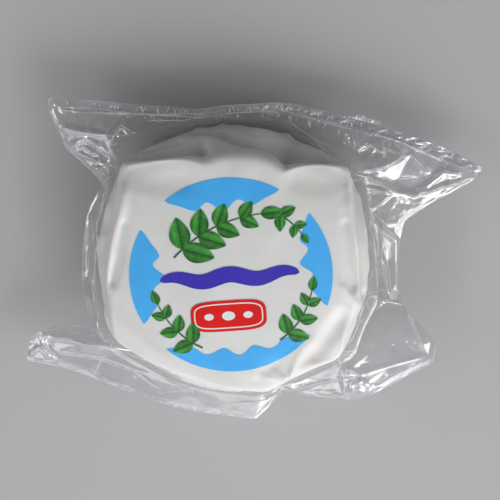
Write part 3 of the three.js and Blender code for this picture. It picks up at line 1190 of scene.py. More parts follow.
@dataclass(frozen=True)
class TornScrap:
    """A crinkled wisp of film that hangs on at the top seam's cut edge."""

    start: tuple = (44.0, 55.6)
    end: tuple = (57.0, 52.3)
    reach: float = 3.8
    thickness: float = 0.15
    steps: int = 36
    rows: int = 7

    def build(self, skin: BVHTree) -> bpy.types.Object:
        """Builds the wisp as a thin closed sheet.

        Args:
            skin: The film's surface, which the wisp starts on.

        Returns:
            The wisp's object.
        """
        draw = np.random.default_rng(97)
        share = np.linspace(0.0, 1.0, self.steps)
        ragged = np.convolve(draw.uniform(0.2, 1.0, self.steps + 2), np.ones(3) / 3, "valid")
        width = self.reach * np.sin(math.pi * share) ** 0.6 * ragged + 0.25
        start = np.array(self.start)
        ahead = np.array(self.end) - start
        outwards = np.array([-ahead[1], ahead[0]]) / np.hypot(*ahead)
        root = start + share[:, None] * ahead
        hits = [skin.ray_cast(Vector((x, y, ABOVE_ALL)), DOWN)[0] for x, y in root.tolist()]
        height = np.median([hit.z for hit in hits if hit is not None])
        sheet = []
        for across in np.linspace(0.0, 1.0, self.rows):
            flat = root + (across * width)[:, None] * outwards
            lift = across * draw.uniform(-0.7, 1.3, self.steps)
            sheet.append(np.column_stack([flat, height + lift]))
        above = np.vstack(sheet)
        count = len(above)
        faces = []
        border = [(k, k + 1) for k in range(self.steps - 1)]
        last_row = (self.rows - 1) * self.steps
        border += [(last_row + k + 1, last_row + k) for k in range(self.steps - 1)]
        for row in range(self.rows - 1):
            first = row * self.steps
            border.append((first + self.steps, first))
            border.append((first + self.steps - 1, first + 2 * self.steps - 1))
            for a in range(first, first + self.steps - 1):
                quad = (a, a + 1, a + 1 + self.steps, a + self.steps)
                faces.append(quad)
                faces.append(tuple(count + corner for corner in quad[::-1]))
        faces += [(b, a, count + a, count + b) for a, b in border]
        beneath = above - [0.0, 0.0, self.thickness]
        return new_piece("torn_scrap", np.vstack([above, beneath]), faces, smooth=False)


@dataclass(frozen=True)
class Puckers:
    """A run of short marks across the top weld, between two shares of its length."""

    first: float
    last: float
    count: int
    inward: tuple
    reach: tuple
    lean: float
    strength: tuple


@dataclass(frozen=True)
class CreaseLines:
    """The fine raised creases that run over the film, as closed slivers that taper off."""

    outline: BagOutline
    relief: FilmRelief
    step: float = 0.7
    width: float = 0.48
    height: float = 0.26
    size_on_cheese: float = 0.55
    sunk: float = 0.06
    pinches: tuple = (
        ((44, 34), 30, (-50, 50), 12.0),
        ((-42, 36), 135, (-60, 15), 10.0),
        ((51, -14), -30, (-70, -45, 0, 30, 70), 14.0),
        ((40, -37), -45, (-50, -15, 20, 55), 13.0),
        ((15, -52), -80, (-60, -30, 10, 45), 12.0),
        ((-45, -29), 212, (-40, -15, 10, 30), 22.0),
        ((21, -45), 105, (-85, -45, 62), 7.0),
    )
    puckers: tuple = (
        Puckers(0.02, 0.50, 46, (0.5, 1.6), (0.9, 2.2), 35.0, (0.5, 1.5)),
        Puckers(0.50, 0.98, 84, (0.4, 1.8), (0.8, 2.4), 60.0, (0.6, 1.9)),
        Puckers(0.08, 0.46, 44, (3.5, 4.4), (0.8, 1.8), 14.0, (0.35, 0.7)),
        Puckers(0.46, 0.95, 26, (3.5, 5.0), (1.2, 3.2), 30.0, (0.4, 0.9)),
    )
    tight_radius: float = 50.0
    weld_line: float = 3.4
    bottom_weld_line: float = 2.7

    def ridges(self) -> list:
        """Creases where the film's facets meet in a ridge, most of them in the crumpled zones.

        Returns:
            Lines of x, y points, with their strength.
        """
        draw = np.random.default_rng(71)
        lines = []
        fields = ((self.relief.broad, 0.05, 0.3, 2.2), (self.relief.middling, 0.0, 0.2, 0.45))
        for field, least, most, gain in fields:
            for start, end, bend in field.ridges():
                x = 0.5 * (start[0] + end[0])
                y = 0.5 * (start[1] + end[1])
                crush = min(1.0, float(self.relief.crush(x, y)))
                calm = float(self.relief.calm(x, y))
                chance = least * (1.0 - calm) + (most - least) * crush
                strength = min(0.85, gain * bend * (0.35 + 0.65 * crush))
                if draw.uniform() < chance and strength > 0.25:
                    lines.append(([start, end], strength))
        return lines

    def gathers(self) -> list:
        """Longer creases that fan out from the places where the film is pinched.

        Returns:
            Lines of x, y points, with their strength.
        """
        draw = np.random.default_rng(83)
        lines = []
        for at, course, spread, length in self.pinches:
            for lean in spread:
                heading = math.radians(course + lean + draw.normal(0.0, 3.0))
                reach = length * draw.uniform(0.55, 1.15)
                bend = draw.normal(0.0, 0.16)
                line = []
                for share in (0.12, 0.4, 0.7, 1.0):
                    turn = heading + bend * share
                    step = reach * share
                    line.append((at[0] + step * math.cos(turn), at[1] + step * math.sin(turn)))
                lines.append((line, draw.uniform(0.4, 0.9)))
        return lines

    def weld_marks(self) -> list:
        """Short marks across the top weld, where its film has puckered.

        Returns:
            Lines of x, y points, with their strength.
        """
        draw = np.random.default_rng(91)
        seam = self.walk(TOP_SEAM)
        ahead = unit_steps(seam)
        lines = []
        for run in self.puckers:
            for share in draw.uniform(run.first, run.last, run.count):
                spot = round(share * (len(seam) - 1))
                course = math.atan2(*ahead[spot][::-1]) - math.pi / 2
                slant = course + math.radians(draw.uniform(-run.lean, run.lean))
                start = seam[spot] + on_round([course], draw.uniform(*run.inward))[0]
                end = start + on_round([slant], draw.uniform(*run.reach))[0]
                lines.append(([tuple(start), tuple(end)], draw.uniform(*run.strength)))
        return lines

    def hems(self) -> list:
        """The lines at the inner edge of the welds, and the bag's own edge.

        Returns:
            Lines of x, y points, with their strength.
        """
        lines = []
        welds = ((TOP_SEAM, self.weld_line, 0.8), (BOTTOM_SEAM, self.bottom_weld_line, 0.6))
        for seam, inward, strength in welds:
            ends = np.array(seam, float)
            inwards = -beside(unit_steps(ends))
            if np.mean(np.sum(inwards * ends, axis=1)) > 0:
                inwards = -inwards
            inner = ends + inwards * inward
            lines.append(([tuple(point) for point in inner[:-1]], strength))
        edge, _ = self.outline.stations(360)
        border = [tuple(point) for point in edge[:, :2] * 0.997]
        lines.append((border + border[:1], 0.75))
        return lines

    def walk(self, line: list) -> np.ndarray:
        """Points at even steps along a line of straight stretches."""
        ends = np.array(line, float)
        _, starts = stretches(ends)
        count = max(4, round(starts[-1] / self.step))
        places = np.linspace(0.0, starts[-1], count)
        return np.column_stack([np.interp(places, starts, ends[:, 0]), np.interp(places, starts, ends[:, 1])])

    def sliver(self, line: list, strength: float, skin: BVHTree, side: int) -> np.ndarray | None:
        """One raised sliver on the film.

        Args:
            line: Its x, y points.
            strength: Its size as a share of the widest.
            skin: The film's surface, in millimetres.
            side: 1 on top of the film, -1 under it.

        Returns:
            Rows of left, crest and right points, or None where the line leaves the film.
        """
        flat = self.walk(line)
        aside = beside(unit_steps(flat))
        share = np.linspace(0.0, 1.0, len(flat))
        swell = np.clip(np.minimum(share, 1.0 - share) * 6.0, 0.15, 1.0) * strength
        rows = []
        tight = np.hypot(flat[:, 0], flat[:, 1]) < self.tight_radius
        swell = np.where(tight, self.size_on_cheese * swell, swell)
        for spot, out, size in zip(flat, aside, swell):
            hit = skin.ray_cast(Vector((spot[0], spot[1], ABOVE_ALL * side)), DOWN * side)[0]
            if hit is None:
                if len(rows) > 3:
                    break
                rows = []
                continue
            base = hit.z - side * self.sunk
            reach = 0.5 * self.width * size * out
            crest = hit.z + side * self.height * size
            rows.append([
                (spot[0] - reach[0], spot[1] - reach[1], base),
                (spot[0], spot[1], crest),
                (spot[0] + reach[0], spot[1] + reach[1], base),
            ])
        return np.array(rows) if len(rows) > 3 else None

    def build(self, skin: BVHTree) -> bpy.types.Object:
        """Builds all creases as one piece.

        Args:
            skin: The film's surface, which the creases follow.

        Returns:
            The creases' object.
        """
        folded = [([point[:2] for point in fold.points], 0.9) for fold in FOLDS if fold.bead > 0.0]
        over = folded + self.hems() + self.weld_marks() + self.ridges() + self.gathers()
        under = folded + self.hems()
        points = []
        faces = []
        start = 0
        for side, lines in ((1, over), (-1, under)):
            for line, strength in lines:
                rows = self.sliver(line, strength, skin, side)
                if rows is None:
                    continue
                count = len(rows)
                points.append(rows.reshape(-1, 3))
                for k in range(count - 1):
                    for a in range(3):
                        b = (a + 1) % 3
                        here = start + 3 * k
                        quad = (here + a, here + b, here + 3 + b, here + 3 + a)
                        faces.append(quad[::-side])
                last = start + 3 * (count - 1)
                faces.append((start, start + 2, start + 1)[::-side])
                faces.append((last, last + 1, last + 2)[::-side])
                start += 3 * count
        return new_piece("crease_lines", np.vstack(points), faces, smooth=False)


@dataclass(frozen=True)
class CheeseWheel:
    """The soft cheese inside the bag."""

    wheel: WheelShape
    stations: int = 360
    face_rings: int = 34
    rounding_rings: int = 6
    wall_rings: int = 18
    under_wall_rings: int = 9
    foot_rings: int = 5
    inset: float = 0.5
    wall_off: float = 0.1
    wall_start: float = 0.5
    wall_end: float = 0.3
    under_start: float = 0.35

    def build(self) -> bpy.types.Object:
        """Builds the wheel a little inside the film.

        Returns:
            The cheese's object.
        """
        wheel = self.wheel
        degrees = np.arange(self.stations) * 360.0 / self.stations
        turn = np.radians(degrees)
        pull = wheel.pull(degrees)
        waist_radius = wheel.waist_radius + wheel.corner_waist * pull - self.inset
        meeting = wheel.seam_height + wheel.corner_lift * pull
        rings = wheel.top_rows(degrees, shares(self.face_rings), self.rounding_rings, self.inset)
        waist = on_wheel(turn, waist_radius, meeting)
        rim = rings[-1]
        drop = rim[:, 2] - meeting
        steepest = np.maximum(wheel.face_radius + pull - self.inset, wheel.wall_share * waist_radius)
        steep = on_wheel(turn, steepest, rim[:, 2] - self.wall_start * drop)
        low = on_wheel(turn, waist_radius + self.wall_off, meeting + self.wall_end * drop)
        rings += wheel.fold_wall(bridge(rim, steep, low, waist, self.wall_rings))
        height = meeting - self.under_start * (meeting - wheel.foot_rounding)
        outer = on_wheel(turn, waist_radius - self.wall_off, height)
        counts = (self.under_wall_rings, self.foot_rings)
        rings += wheel.under_rows(waist, outer, meeting, counts, self.inset)
        rings.append(on_wheel(turn, wheel.foot_radius * 0.5, self.inset))
        return closed_piece("cheese_wheel", rings, wheel.crown() - self.inset, self.inset)


# The print

class InkPlace(Enum):
    """Which layer of ink a shape lies in, counted up from the cheese."""

    FIELD = 0
    MOTIF = 1
    DETAIL = 2


@dataclass(frozen=True)
class FacePrint:
    """The printed round on the face, as thin sheets of ink between the cheese and the film."""

    wheel: WheelShape
    middle: tuple = (-0.8, -1.9)
    radius: float = 38.8
    turned: float = 4.0
    ink_depth: float = 0.03
    lowest: float = -0.42
    layer_step: float = 0.06
    grid: float = 1.6

    def to_face(self, points: np.ndarray) -> np.ndarray:
        """Places points of the round design on the wheel's face.

        Args:
            points: Rows of x, y from the design's middle.

        Returns:
            Rows of x, y from the wheel's middle.
        """
        return points @ spin(self.turned) + np.array(self.middle)

    def sheet(
        self, name: str, outlines: list, place: InkPlace, across: list | None = None,
    ) -> bpy.types.Object:
        """Makes one thin closed sheet of ink for each outline, joined as one piece.

        Args:
            name: The piece's name.
            outlines: Closed outlines as rows of x, y from the design's middle.
            place: The layer that the ink lies in.
            across: For each outline a function from x, y rows to two numbers for the material.

        Returns:
            The piece.
        """
        points = []
        faces = []
        marks = []
        sharp = math.radians(30.0)
        for number, outline in enumerate(outlines):
            flat, triangles, border = self.fill(outline)
            on_face = self.to_face(flat)
            top = self.wheel.face_height(on_face[:, 0], on_face[:, 1])
            top = top + self.lowest + self.layer_step * place.value + self.ink_depth
            start = sum(len(block) for block in points)
            count = len(flat)
            points.append(np.column_stack([on_face, top]))
            points.append(np.column_stack([on_face, top - self.ink_depth]))
            for a, b, c in triangles:
                faces.append((start + a, start + b, start + c))
                faces.append((start + count + a, start + count + c, start + count + b))
            for a, b in border:
                faces.append((start + b, start + a, start + count + a, start + count + b))
            values = across[number](flat) if across else np.zeros((count, 2))
            marks += [values, values]
        piece = new_piece(name, np.vstack(points), faces)
        piece.data.set_sharp_from_angle(angle=sharp)
        values = np.vstack(marks)
        give_values(piece, "along", values[:, 0])
        give_values(piece, "across", values[:, 1])
        return piece

    def fill(self, outline: np.ndarray) -> tuple:
        """Fills an outline with triangles small enough to follow the face.

        Args:
            outline: Rows of x, y, anticlockwise.

        Returns:
            The points, the triangles and the border's edges, all as numbers of points.
        """
        low = outline.min(axis=0)
        high = outline.max(axis=0)
        x, y = np.meshgrid(np.arange(low[0], high[0], self.grid), np.arange(low[1], high[1], self.grid))
        inner = np.column_stack([x.ravel(), y.ravel()])
        if len(inner):
            away, _ = distance_to_line(inner[:, 0], inner[:, 1], [*outline, outline[0]])
            inner = inner[away > 0.35 * self.grid]
        corners = [Vector(p) for p in np.vstack([outline, inner]).tolist()]
        result = delaunay_2d_cdt(corners, [], [list(range(len(outline)))], 1, 1e-5)
        flat = np.array([(v.x, v.y) for v in result[0]])
        triangles = []
        for a, b, c in result[2]:
            one, two, three = flat[a], flat[b], flat[c]
            area = (two[0] - one[0]) * (three[1] - one[1]) - (two[1] - one[1]) * (three[0] - one[0])
            triangles.append((a, b, c) if area > 0 else (a, c, b))
        used = {}
        for a, b, c in triangles:
            for pair in ((a, b), (b, c), (c, a)):
                used[pair] = True
        border = [pair for pair in used if (pair[1], pair[0]) not in used]
        kept = sorted({n for triangle in triangles for n in triangle})
        order = {n: i for i, n in enumerate(kept)}
        triangles = [tuple(order[n] for n in triangle) for triangle in triangles]
        border = [tuple(order[n] for n in pair) for pair in border]
        return flat[kept], triangles, border

    def billow(self, start: float, end: float, depth: float, lobes: int) -> np.ndarray:
        """A field along the round's rim whose inner edge swells in soft lobes.

        Args:
            start: Its first direction in degrees.
            end: Its last direction in degrees.
            depth: How far it reaches in from the rim.
            lobes: How many swells its inner edge has.

        Returns:
            The outline, anticlockwise.
        """
        share = np.linspace(0.0, 1.0, 140)
        turn = np.radians(start + (end - start) * share)
        reach = depth * np.sin(math.pi * share) ** 0.5
        swell = 0.84 - 0.16 * np.cos(2 * math.pi * lobes * share)
        inner = self.radius - reach * swell
        return np.vstack([on_round(turn, self.radius), on_round(turn, inner)[-2:0:-1]])

    def leaf(self, at: tuple, heading: float, length: float, width: float) -> tuple:
        """A leaf that starts at a point and ends in a blunt tip.

        Args:
            at: Where its stalk is.
            heading: Its direction in degrees.
            length: How long it is.
            width: How wide it is.

        Returns:
            Its outline, and a function from x, y rows to how far along and across it they are.
        """
        share = np.linspace(0.0, 1.0, 18)
        half = 0.5 * width * np.sin(math.pi * share**0.8) ** 0.8
        side = np.column_stack([length * share, -half])
        other = np.column_stack([length * share, half])[::-1]
        local = np.vstack([side, other[1:-1]])
        turned = spin(heading)

        def measure(points: np.ndarray) -> np.ndarray:
            """How far along and across the leaf points are."""
            back = (points - np.array(at)) @ turned.T
            return np.column_stack([back[:, 0] / length, back[:, 1] / (0.5 * width)])

        return local @ turned + np.array(at), measure

    def ribbon(self, line: np.ndarray, width: np.ndarray) -> np.ndarray:
        """An outline of a given width along a line.

        Args:
            line: Rows of x, y.
            width: The width at each of them.

        Returns:
            The outline, anticlockwise.
        """
        aside = beside(unit_steps(line)) * width[:, None] * 0.5
        return np.vstack([line - aside, (line + aside)[::-1]])

    def oval(self, at: tuple, wide: float, high: float, count: int = 32) -> np.ndarray:
        """An ellipse's outline, anticlockwise."""
        turn = np.arange(count) * 2 * math.pi / count
        return on_round(turn, 0.5) * [wide, high] + np.array(at)

    def plaque(self, at: tuple, wide: float, high: float, turn: np.ndarray) -> np.ndarray:
        """Points of a soft-cornered plaque's outline at directions in radians."""
        c = np.cos(turn)
        s = np.sin(turn)
        x = np.sign(c) * np.sqrt(np.abs(c))
        y = np.sign(s) * np.sqrt(np.abs(s))
        return np.column_stack([at[0] + 0.5 * wide * x, at[1] + 0.5 * high * y])


@dataclass(frozen=True)
class PrintDesign:
    """The printed design: billowing fields at the rim, leafy sprigs, a wave and a plaque."""

    press: FacePrint
    billows: tuple = (
        (58, 126, 13, 3),
        (148, 206, 14, 3),
        (-22, 36, 12, 3),
        (226, 318, 10, 4),
    )
    sprigs: tuple = (
        ((-21, 9), 44, 38, 12.5, -42, 9),
        ((17, -27), 34, 24, 8.5, 44, 7),
        ((-13, -28), 150, 25, 8.5, -42, 7),
        ((17, 25), -28, 15, 6.5, -30, 5),
    )
    sprig_steps: int = 24
    wave_reach: tuple = (-27.0, 26.0)
    wave_points: int = 60
    wave_swing: float = 1.2
    wave_bends: int = 5
    wave_width: float = 6.4
    plaque_middle: tuple = (-2.0, -15.5)
    plaque_size: tuple = (29.0, 12.6)
    line_size: tuple = (26.0, 9.8)
    line_width: float = 0.5
    quarter_points: int = 24
    drops: tuple = ((-7.5, 2.7), (0.0, 3.7), (7.5, 2.7))
    drop_stretch: float = 1.35

    def fields(self) -> bpy.types.Object:
        """The sky-blue fields."""
        outlines = [self.press.billow(*billow) for billow in self.billows]
        return self.press.sheet("printed_fields", outlines, InkPlace.FIELD)

    def sprig(
        self, at: tuple, heading: float, length: float, size: float, bend: float, count: int,
    ) -> tuple:
        """One sprig with paired leaves and one at its tip.

        Args:
            at: Where its stem starts.
            heading: The stem's first direction in degrees.
            length: The stem's length.
            size: The longest leaf's length.
            bend: How far the stem turns, in degrees.
            count: How many leaves it has.

        Returns:
            The leaves as outlines with their measures, and the stem's outline.
        """
        steps = self.sprig_steps
        turns = np.radians(heading + bend * np.arange(steps + 1) / steps)
        walk = on_round(turns, 1.0) * length / steps
        line = np.vstack([[0.0, 0.0], np.cumsum(walk[:-1], axis=0)]) + np.array(at)
        leaves = [self.press.leaf(tuple(line[-1]), heading + bend, size * 0.7, size * 0.4)]
        pairs = (count - 1) // 2
        for pair in range(pairs):
            share = (pair + 0.6) / pairs
            spot = min(steps - 1, round(share * steps * 0.86))
            grown = size * (1.0 - 0.5 * pair / pairs)
            course = math.degrees(turns[spot])
            for side in (-1, 1):
                lean = side * (58 - 6 * pair)
                leaves.append(self.press.leaf(tuple(line[spot]), course + lean, grown, grown * 0.64))
        stem = self.press.ribbon(line, np.linspace(0.75, 0.35, steps + 1))
        return leaves, stem

    def greenery(self) -> list:
        """The leaves and the stems."""
        leaves = []
        stems = []
        for sprig in self.sprigs:
            grown, stem = self.sprig(*sprig)
            leaves += grown
            stems.append(stem)
        outlines = [outline for outline, _ in leaves]
        measures = [measure for _, measure in leaves]
        return [
            self.press.sheet("printed_leaves", outlines, InkPlace.DETAIL, measures),
            self.press.sheet("printed_stems", stems, InkPlace.MOTIF),
        ]

    def wave(self) -> bpy.types.Object:
        """The violet wave across the middle."""
        x = np.linspace(*self.wave_reach, self.wave_points)
        share = (x - x[0]) / (x[-1] - x[0])
        line = np.column_stack([x, self.wave_swing * np.sin(share * self.wave_bends * math.pi)])
        width = self.wave_width * np.clip(np.sin(math.pi * share) ** 0.35, 0.08, 1.0)
        return self.press.sheet("printed_wave", [self.press.ribbon(line, width)], InkPlace.MOTIF)

    def badge(self) -> list:
        """The red plaque, its pale inner line and drops."""
        at = self.plaque_middle
        turn = np.linspace(0.0, 2 * math.pi, 4 * self.quarter_points + 1)
        plaque = self.press.plaque(at, *self.plaque_size, turn[:-1])
        drops = []
        for step, size in self.drops:
            drops.append(self.press.oval((at[0] + step, at[1]), size * self.drop_stretch, size))
        line = self.press.plaque(at, *self.line_size, turn)
        width = np.full(self.quarter_points + 1, self.line_width)
        pales = []
        for first in range(0, 4 * self.quarter_points, self.quarter_points):
            pales.append(self.press.ribbon(line[first:first + len(width)], width))
        return [
            self.press.sheet("printed_plaque", [plaque], InkPlace.MOTIF),
            self.press.sheet("printed_drops", drops + pales, InkPlace.DETAIL),
        ]


# Finishes

class Nodes:
    """A node tree with short ways to add and join nodes."""

    def __init__(self, tree: bpy.types.NodeTree) -> None:
        """Takes the tree."""
        self.tree = tree

    def add(self, kind: str, inputs: dict | None = None, **settings: object) -> bpy.types.Node:
        """Adds a node.

        Args:
            kind: The node's type without its usual start.
            inputs: What goes into its sockets, as values or as other nodes' sockets.
            settings: The node's own settings.

        Returns:
            The node.
        """
        node = self.tree.nodes.new("ShaderNode" + kind)
        for key, value in settings.items():
            setattr(node, key, value)
        for key, value in (inputs or {}).items():
            if isinstance(value, bpy.types.NodeSocket):
                self.tree.links.new(value, node.inputs[key])
            else:
                node.inputs[key].default_value = value
        return node

    def maths(self, operation: str, *values: object, clamp: bool = False) -> bpy.types.NodeSocket:
        """The result of an operation on numbers or sockets."""
        return self.add("Math", dict(enumerate(values)), operation=operation, use_clamp=clamp).outputs[0]

    def scaled(
        self, value: object, factor: object, offset: object = 0.0, clamp: bool = False,
    ) -> bpy.types.NodeSocket:
        """A value times a factor plus an offset, each of them a number or a socket."""
        return self.maths("MULTIPLY_ADD", value, factor, offset, clamp=clamp)

    def ramp(self, share: bpy.types.NodeSocket, stops: list) -> bpy.types.NodeSocket:
        """The colour at a share of a ramp.

        Args:
            share: The share, from 0 to 1.
            stops: Pairs of a position and a colour, in their order.

        Returns:
            The colour's socket.
        """
        node = self.add("ValToRGB", {"Fac": share})
        ends = list(node.color_ramp.elements)
        for element, (position, colour) in zip(ends, (stops[0], stops[-1])):
            element.position = position
            element.color = colour
        for position, colour in stops[1:-1]:
            node.color_ramp.elements.new(position).color = colour
        return node.outputs["Color"]


class Shader(Nodes):
    """A new material's node tree."""

    def __init__(self, name: str) -> None:
        """Starts an empty material."""
        self.material = bpy.data.materials.new(name)
        self.material.use_nodes = True
        super().__init__(self.material.node_tree)
        self.tree.nodes.clear()
        self.output = self.tree.nodes.new("ShaderNodeOutputMaterial")

    def finish(self, surface: bpy.types.NodeSocket) -> bpy.types.Material:
        """Joins the last shader to the output and returns the material."""
        self.tree.links.new(surface, self.output.inputs["Surface"])
        return self.material

    def field(self, name: str) -> bpy.types.NodeSocket:
        """The numbers that the piece carries under a name."""
        return self.add("Attribute", attribute_name=name).outputs["Fac"]

    def mottle(self, size: float, contrast: float) -> bpy.types.bpy_prop_collection:
        """The outputs of the mottle group at a size and a contrast."""
        return self.add("Group", {"Size": size, "Contrast": contrast}, node_tree=mottle_group()).outputs

    def blend(self, dark: tuple, light: tuple, share: bpy.types.NodeSocket) -> bpy.types.NodeSocket:
        """Mixes two colours by a socket, which is the second one's share."""
        mix = self.add("Mix", {"Factor": share, "A": dark, "B": light}, data_type="RGBA")
        return mix.outputs["Result"]

    def ink(self, colour: bpy.types.NodeSocket) -> bpy.types.Material:
        """Finishes the material as dull ink of a colour."""
        body = self.add("BsdfPrincipled", {"Base Color": colour, "Roughness": 0.5, "Specular IOR Level": 0.1})
        return self.finish(body.outputs["BSDF"])

    def film(self, veil: object, mirror: object, haze: dict, gloss: dict) -> bpy.types.Material:
        """Finishes the material as clear film with some haze, under some mirror.

        Args:
            veil: How much of the film is haze, as a number or a socket.
            mirror: How much of it mirrors.
            haze: What goes into the haze's sockets.
            gloss: What goes into the mirror's sockets.

        Returns:
            The material.
        """
        clear = self.add("BsdfTransparent", {"Color": WHITE})
        milky = self.add("BsdfPrincipled", haze)
        bright = self.add("BsdfPrincipled", {"Base Color": WHITE, "Metallic": 1.0} | gloss)
        veiled = self.add("MixShader", {0: veil, 1: clear.outputs[0], 2: milky.outputs[0]})
        film = self.add("MixShader", {0: mirror, 1: veiled.outputs[0], 2: bright.outputs[0]})
        return self.finish(film.outputs[0])


def mottle_group() -> bpy.types.NodeTree:
    """Soft uneven patches and a fine grain, used by the cheese and the inks.

    Returns:
        The group, with Size and Contrast in, and Patches and Grain out.
    """
    found = bpy.data.node_groups.get("mottle")
    if found:
        return found
    group = bpy.data.node_groups.new("mottle", "ShaderNodeTree")
    for name, way in (("Size", "INPUT"), ("Contrast", "INPUT"), ("Patches", "OUTPUT"), ("Grain", "OUTPUT")):
        group.interface.new_socket(name, in_out=way, socket_type="NodeSocketFloat")
    source = group.nodes.new("NodeGroupInput")
    sink = group.nodes.new("NodeGroupOutput")
    nodes = Nodes(group)
    place = nodes.add("TexCoord").outputs["Object"]
    broad = nodes.add("TexNoise", {
        "Vector": place, "Scale": source.outputs["Size"], "Detail": 3.0, "Roughness": 0.55,
    })
    centred = nodes.maths("SUBTRACT", broad.outputs["Fac"], 0.5)
    patches = nodes.scaled(centred, source.outputs["Contrast"], 0.5, clamp=True)
    grain = nodes.add("TexNoise", {"Vector": place, "Scale": 1400.0, "Detail": 2.0})
    group.links.new(patches, sink.inputs["Patches"])
    group.links.new(grain.outputs["Fac"], sink.inputs["Grain"])
    return group


@dataclass(frozen=True)
class CheeseFinish:
    """Moist white cheese, a little see-into, with faint warm and cool patches."""

    light: tuple = (0.78, 0.785, 0.785, 1.0)
    shade: tuple = (0.72, 0.715, 0.70, 1.0)
    roughness: float = 0.42
    patch_size: float = 55.0
    contrast: float = 2.2

    def material(self) -> bpy.types.Material:
        """Builds the material."""
        shader = Shader("mozzarella")
        mottle = shader.mottle(self.patch_size, self.contrast)
        bump = shader.add("Bump", {"Height": mottle["Grain"], "Strength": 0.12, "Distance": 0.0002})
        body = shader.add("BsdfPrincipled", {
            "Base Color": shader.blend(self.shade, self.light, mottle["Patches"]),
            "Roughness": self.roughness,
            "Specular IOR Level": 0.25,
            "Subsurface Weight": 0.35,
            "Subsurface Scale": 0.004,
            "Normal": bump.outputs["Normal"],
        })
        return shader.finish(body.outputs["BSDF"])


@dataclass(frozen=True)
class FilmFinish:
    """Clear glossy film that mirrors more the flatter it is seen, with a faint grey veil."""

    veil_colour: tuple = (0.60, 0.61, 0.65, 1.0)
    mirror: float = 0.07
    mirror_on_cheese: float = 0.016
    crushed_mirror: float = 0.06
    grazing: float = 0.7
    grazing_on_cheese: float = 0.12
    grazing_power: float = 3.0
    veil: float = 0.07
    veil_on_cheese: float = 0.004
    crushed_veil: float = 0.10
    welded_veil: float = 0.09
    double_veil: float = 0.12
    roughness: float = 0.06
    roughness_on_cheese: float = 0.34
    ripples: float = 0.7
    crinkles: float = 0.03
    crushed_crinkles: float = 0.8
    welded_crinkles: float = 0.25

    def material(self) -> bpy.types.Material:
        """Builds the material."""
        shader = Shader("clear_film")
        crush = shader.field("crush")
        weld = shader.field("weld")
        cling = shader.field("cling")
        double = shader.field("double")
        place = shader.add("TexCoord").outputs["Object"]
        ripple = shader.add("TexNoise", {"Vector": place, "Scale": 160.0, "Detail": 2.0, "Distortion": 0.4})
        crinkle = shader.add(
            "TexNoise", {"Vector": place, "Scale": 300.0, "Detail": 3.0}, noise_type="RIDGED_MULTIFRACTAL",
        )
        rough_up = shader.scaled(crush, self.crushed_crinkles, self.crinkles)
        rough_up = shader.scaled(weld, self.welded_crinkles, rough_up)
        crinkles = shader.scaled(crinkle.outputs["Fac"], rough_up)
        height = shader.scaled(ripple.outputs["Fac"], self.ripples, crinkles)
        bump = shader.add("Bump", {"Height": height, "Strength": 0.5, "Distance": 0.0003})
        facing = shader.add("LayerWeight", {"Blend": 0.5, "Normal": bump.outputs["Normal"]})
        steep = shader.maths("POWER", facing.outputs["Facing"], self.grazing_power)
        plain = self.between(shader, self.mirror, self.mirror_on_cheese, cling)
        least = shader.scaled(crush, self.crushed_mirror, plain)
        most = self.between(shader, self.grazing, self.grazing_on_cheese, cling)
        mirror = shader.scaled(steep, most, least, clamp=True)
        base = self.between(shader, self.veil, self.veil_on_cheese, cling)
        crushed = shader.scaled(crush, self.crushed_veil, base)
        doubled = shader.scaled(double, self.double_veil, crushed)
        veil = shader.scaled(weld, self.welded_veil, doubled, clamp=True)
        roughness = self.between(shader, self.roughness, self.roughness_on_cheese, cling)
        haze = {"Base Color": self.veil_colour, "Roughness": 0.5}
        return shader.film(veil, mirror, haze, {"Roughness": roughness, "Normal": bump.outputs["Normal"]})

    def between(
        self, shader: Shader, free: float, tight: float, cling: bpy.types.NodeSocket,
    ) -> bpy.types.NodeSocket:
        """A number that is one value on the free film and another where it clings to the cheese.

        Args:
            shader: The material that gets the node.
            free: The value on the free film.
            tight: The value on the cheese.
            cling: How tight the film is, from 0 to 1.

        Returns:
            The node's output.
        """
        return shader.scaled(cling, tight - free, free)


@dataclass(frozen=True)
class CreaseFinish:
    """Film folded onto itself in a sharp crease, which catches more light; its pale haze is partly the folded
    film's own haze and partly a painted highlight.
    """

    name: str = "creased_film_painted_highlight"
    pale: tuple = (0.86, 0.87, 0.90, 1.0)
    veil: float = 0.72
    mirror: float = 0.24
    roughness: float = 0.22

    def material(self) -> bpy.types.Material:
        """Builds the material."""
        shader = Shader(self.name)
        place = shader.add("TexCoord").outputs["Object"]
        patches = shader.add("TexNoise", {"Vector": place, "Scale": 190.0, "Detail": 2.0})
        spread = shader.add("MapRange", {"Value": patches.outputs["Fac"], "From Min": 0.22, "From Max": 0.62})
        # The pale haze is partly the crease's own haze and partly painted highlight, which keeps the lines
        # white under any lamp.
        veil = shader.scaled(spread.outputs["Result"], self.veil)
        haze = {"Base Color": self.pale, "Roughness": 0.4}
        return shader.film(veil, self.mirror, haze, {"Roughness": self.roughness})


@dataclass(frozen=True)
class InkFinish:
    """A flat ink, slightly uneven, that sits under the film."""

    name: str
    colour: tuple
    uneven: float = 0.06
    patch_size: float = 160.0
    contrast: float = 1.6

    def material(self) -> bpy.types.Material:
        """Builds the material."""
        shader = Shader(self.name)
        deep = tuple(c * (1.0 - self.uneven * 2) for c in self.colour[:3]) + (1.0,)
        patches = shader.mottle(self.patch_size, self.contrast)["Patches"]
        return shader.ink(shader.blend(deep, self.colour, patches))


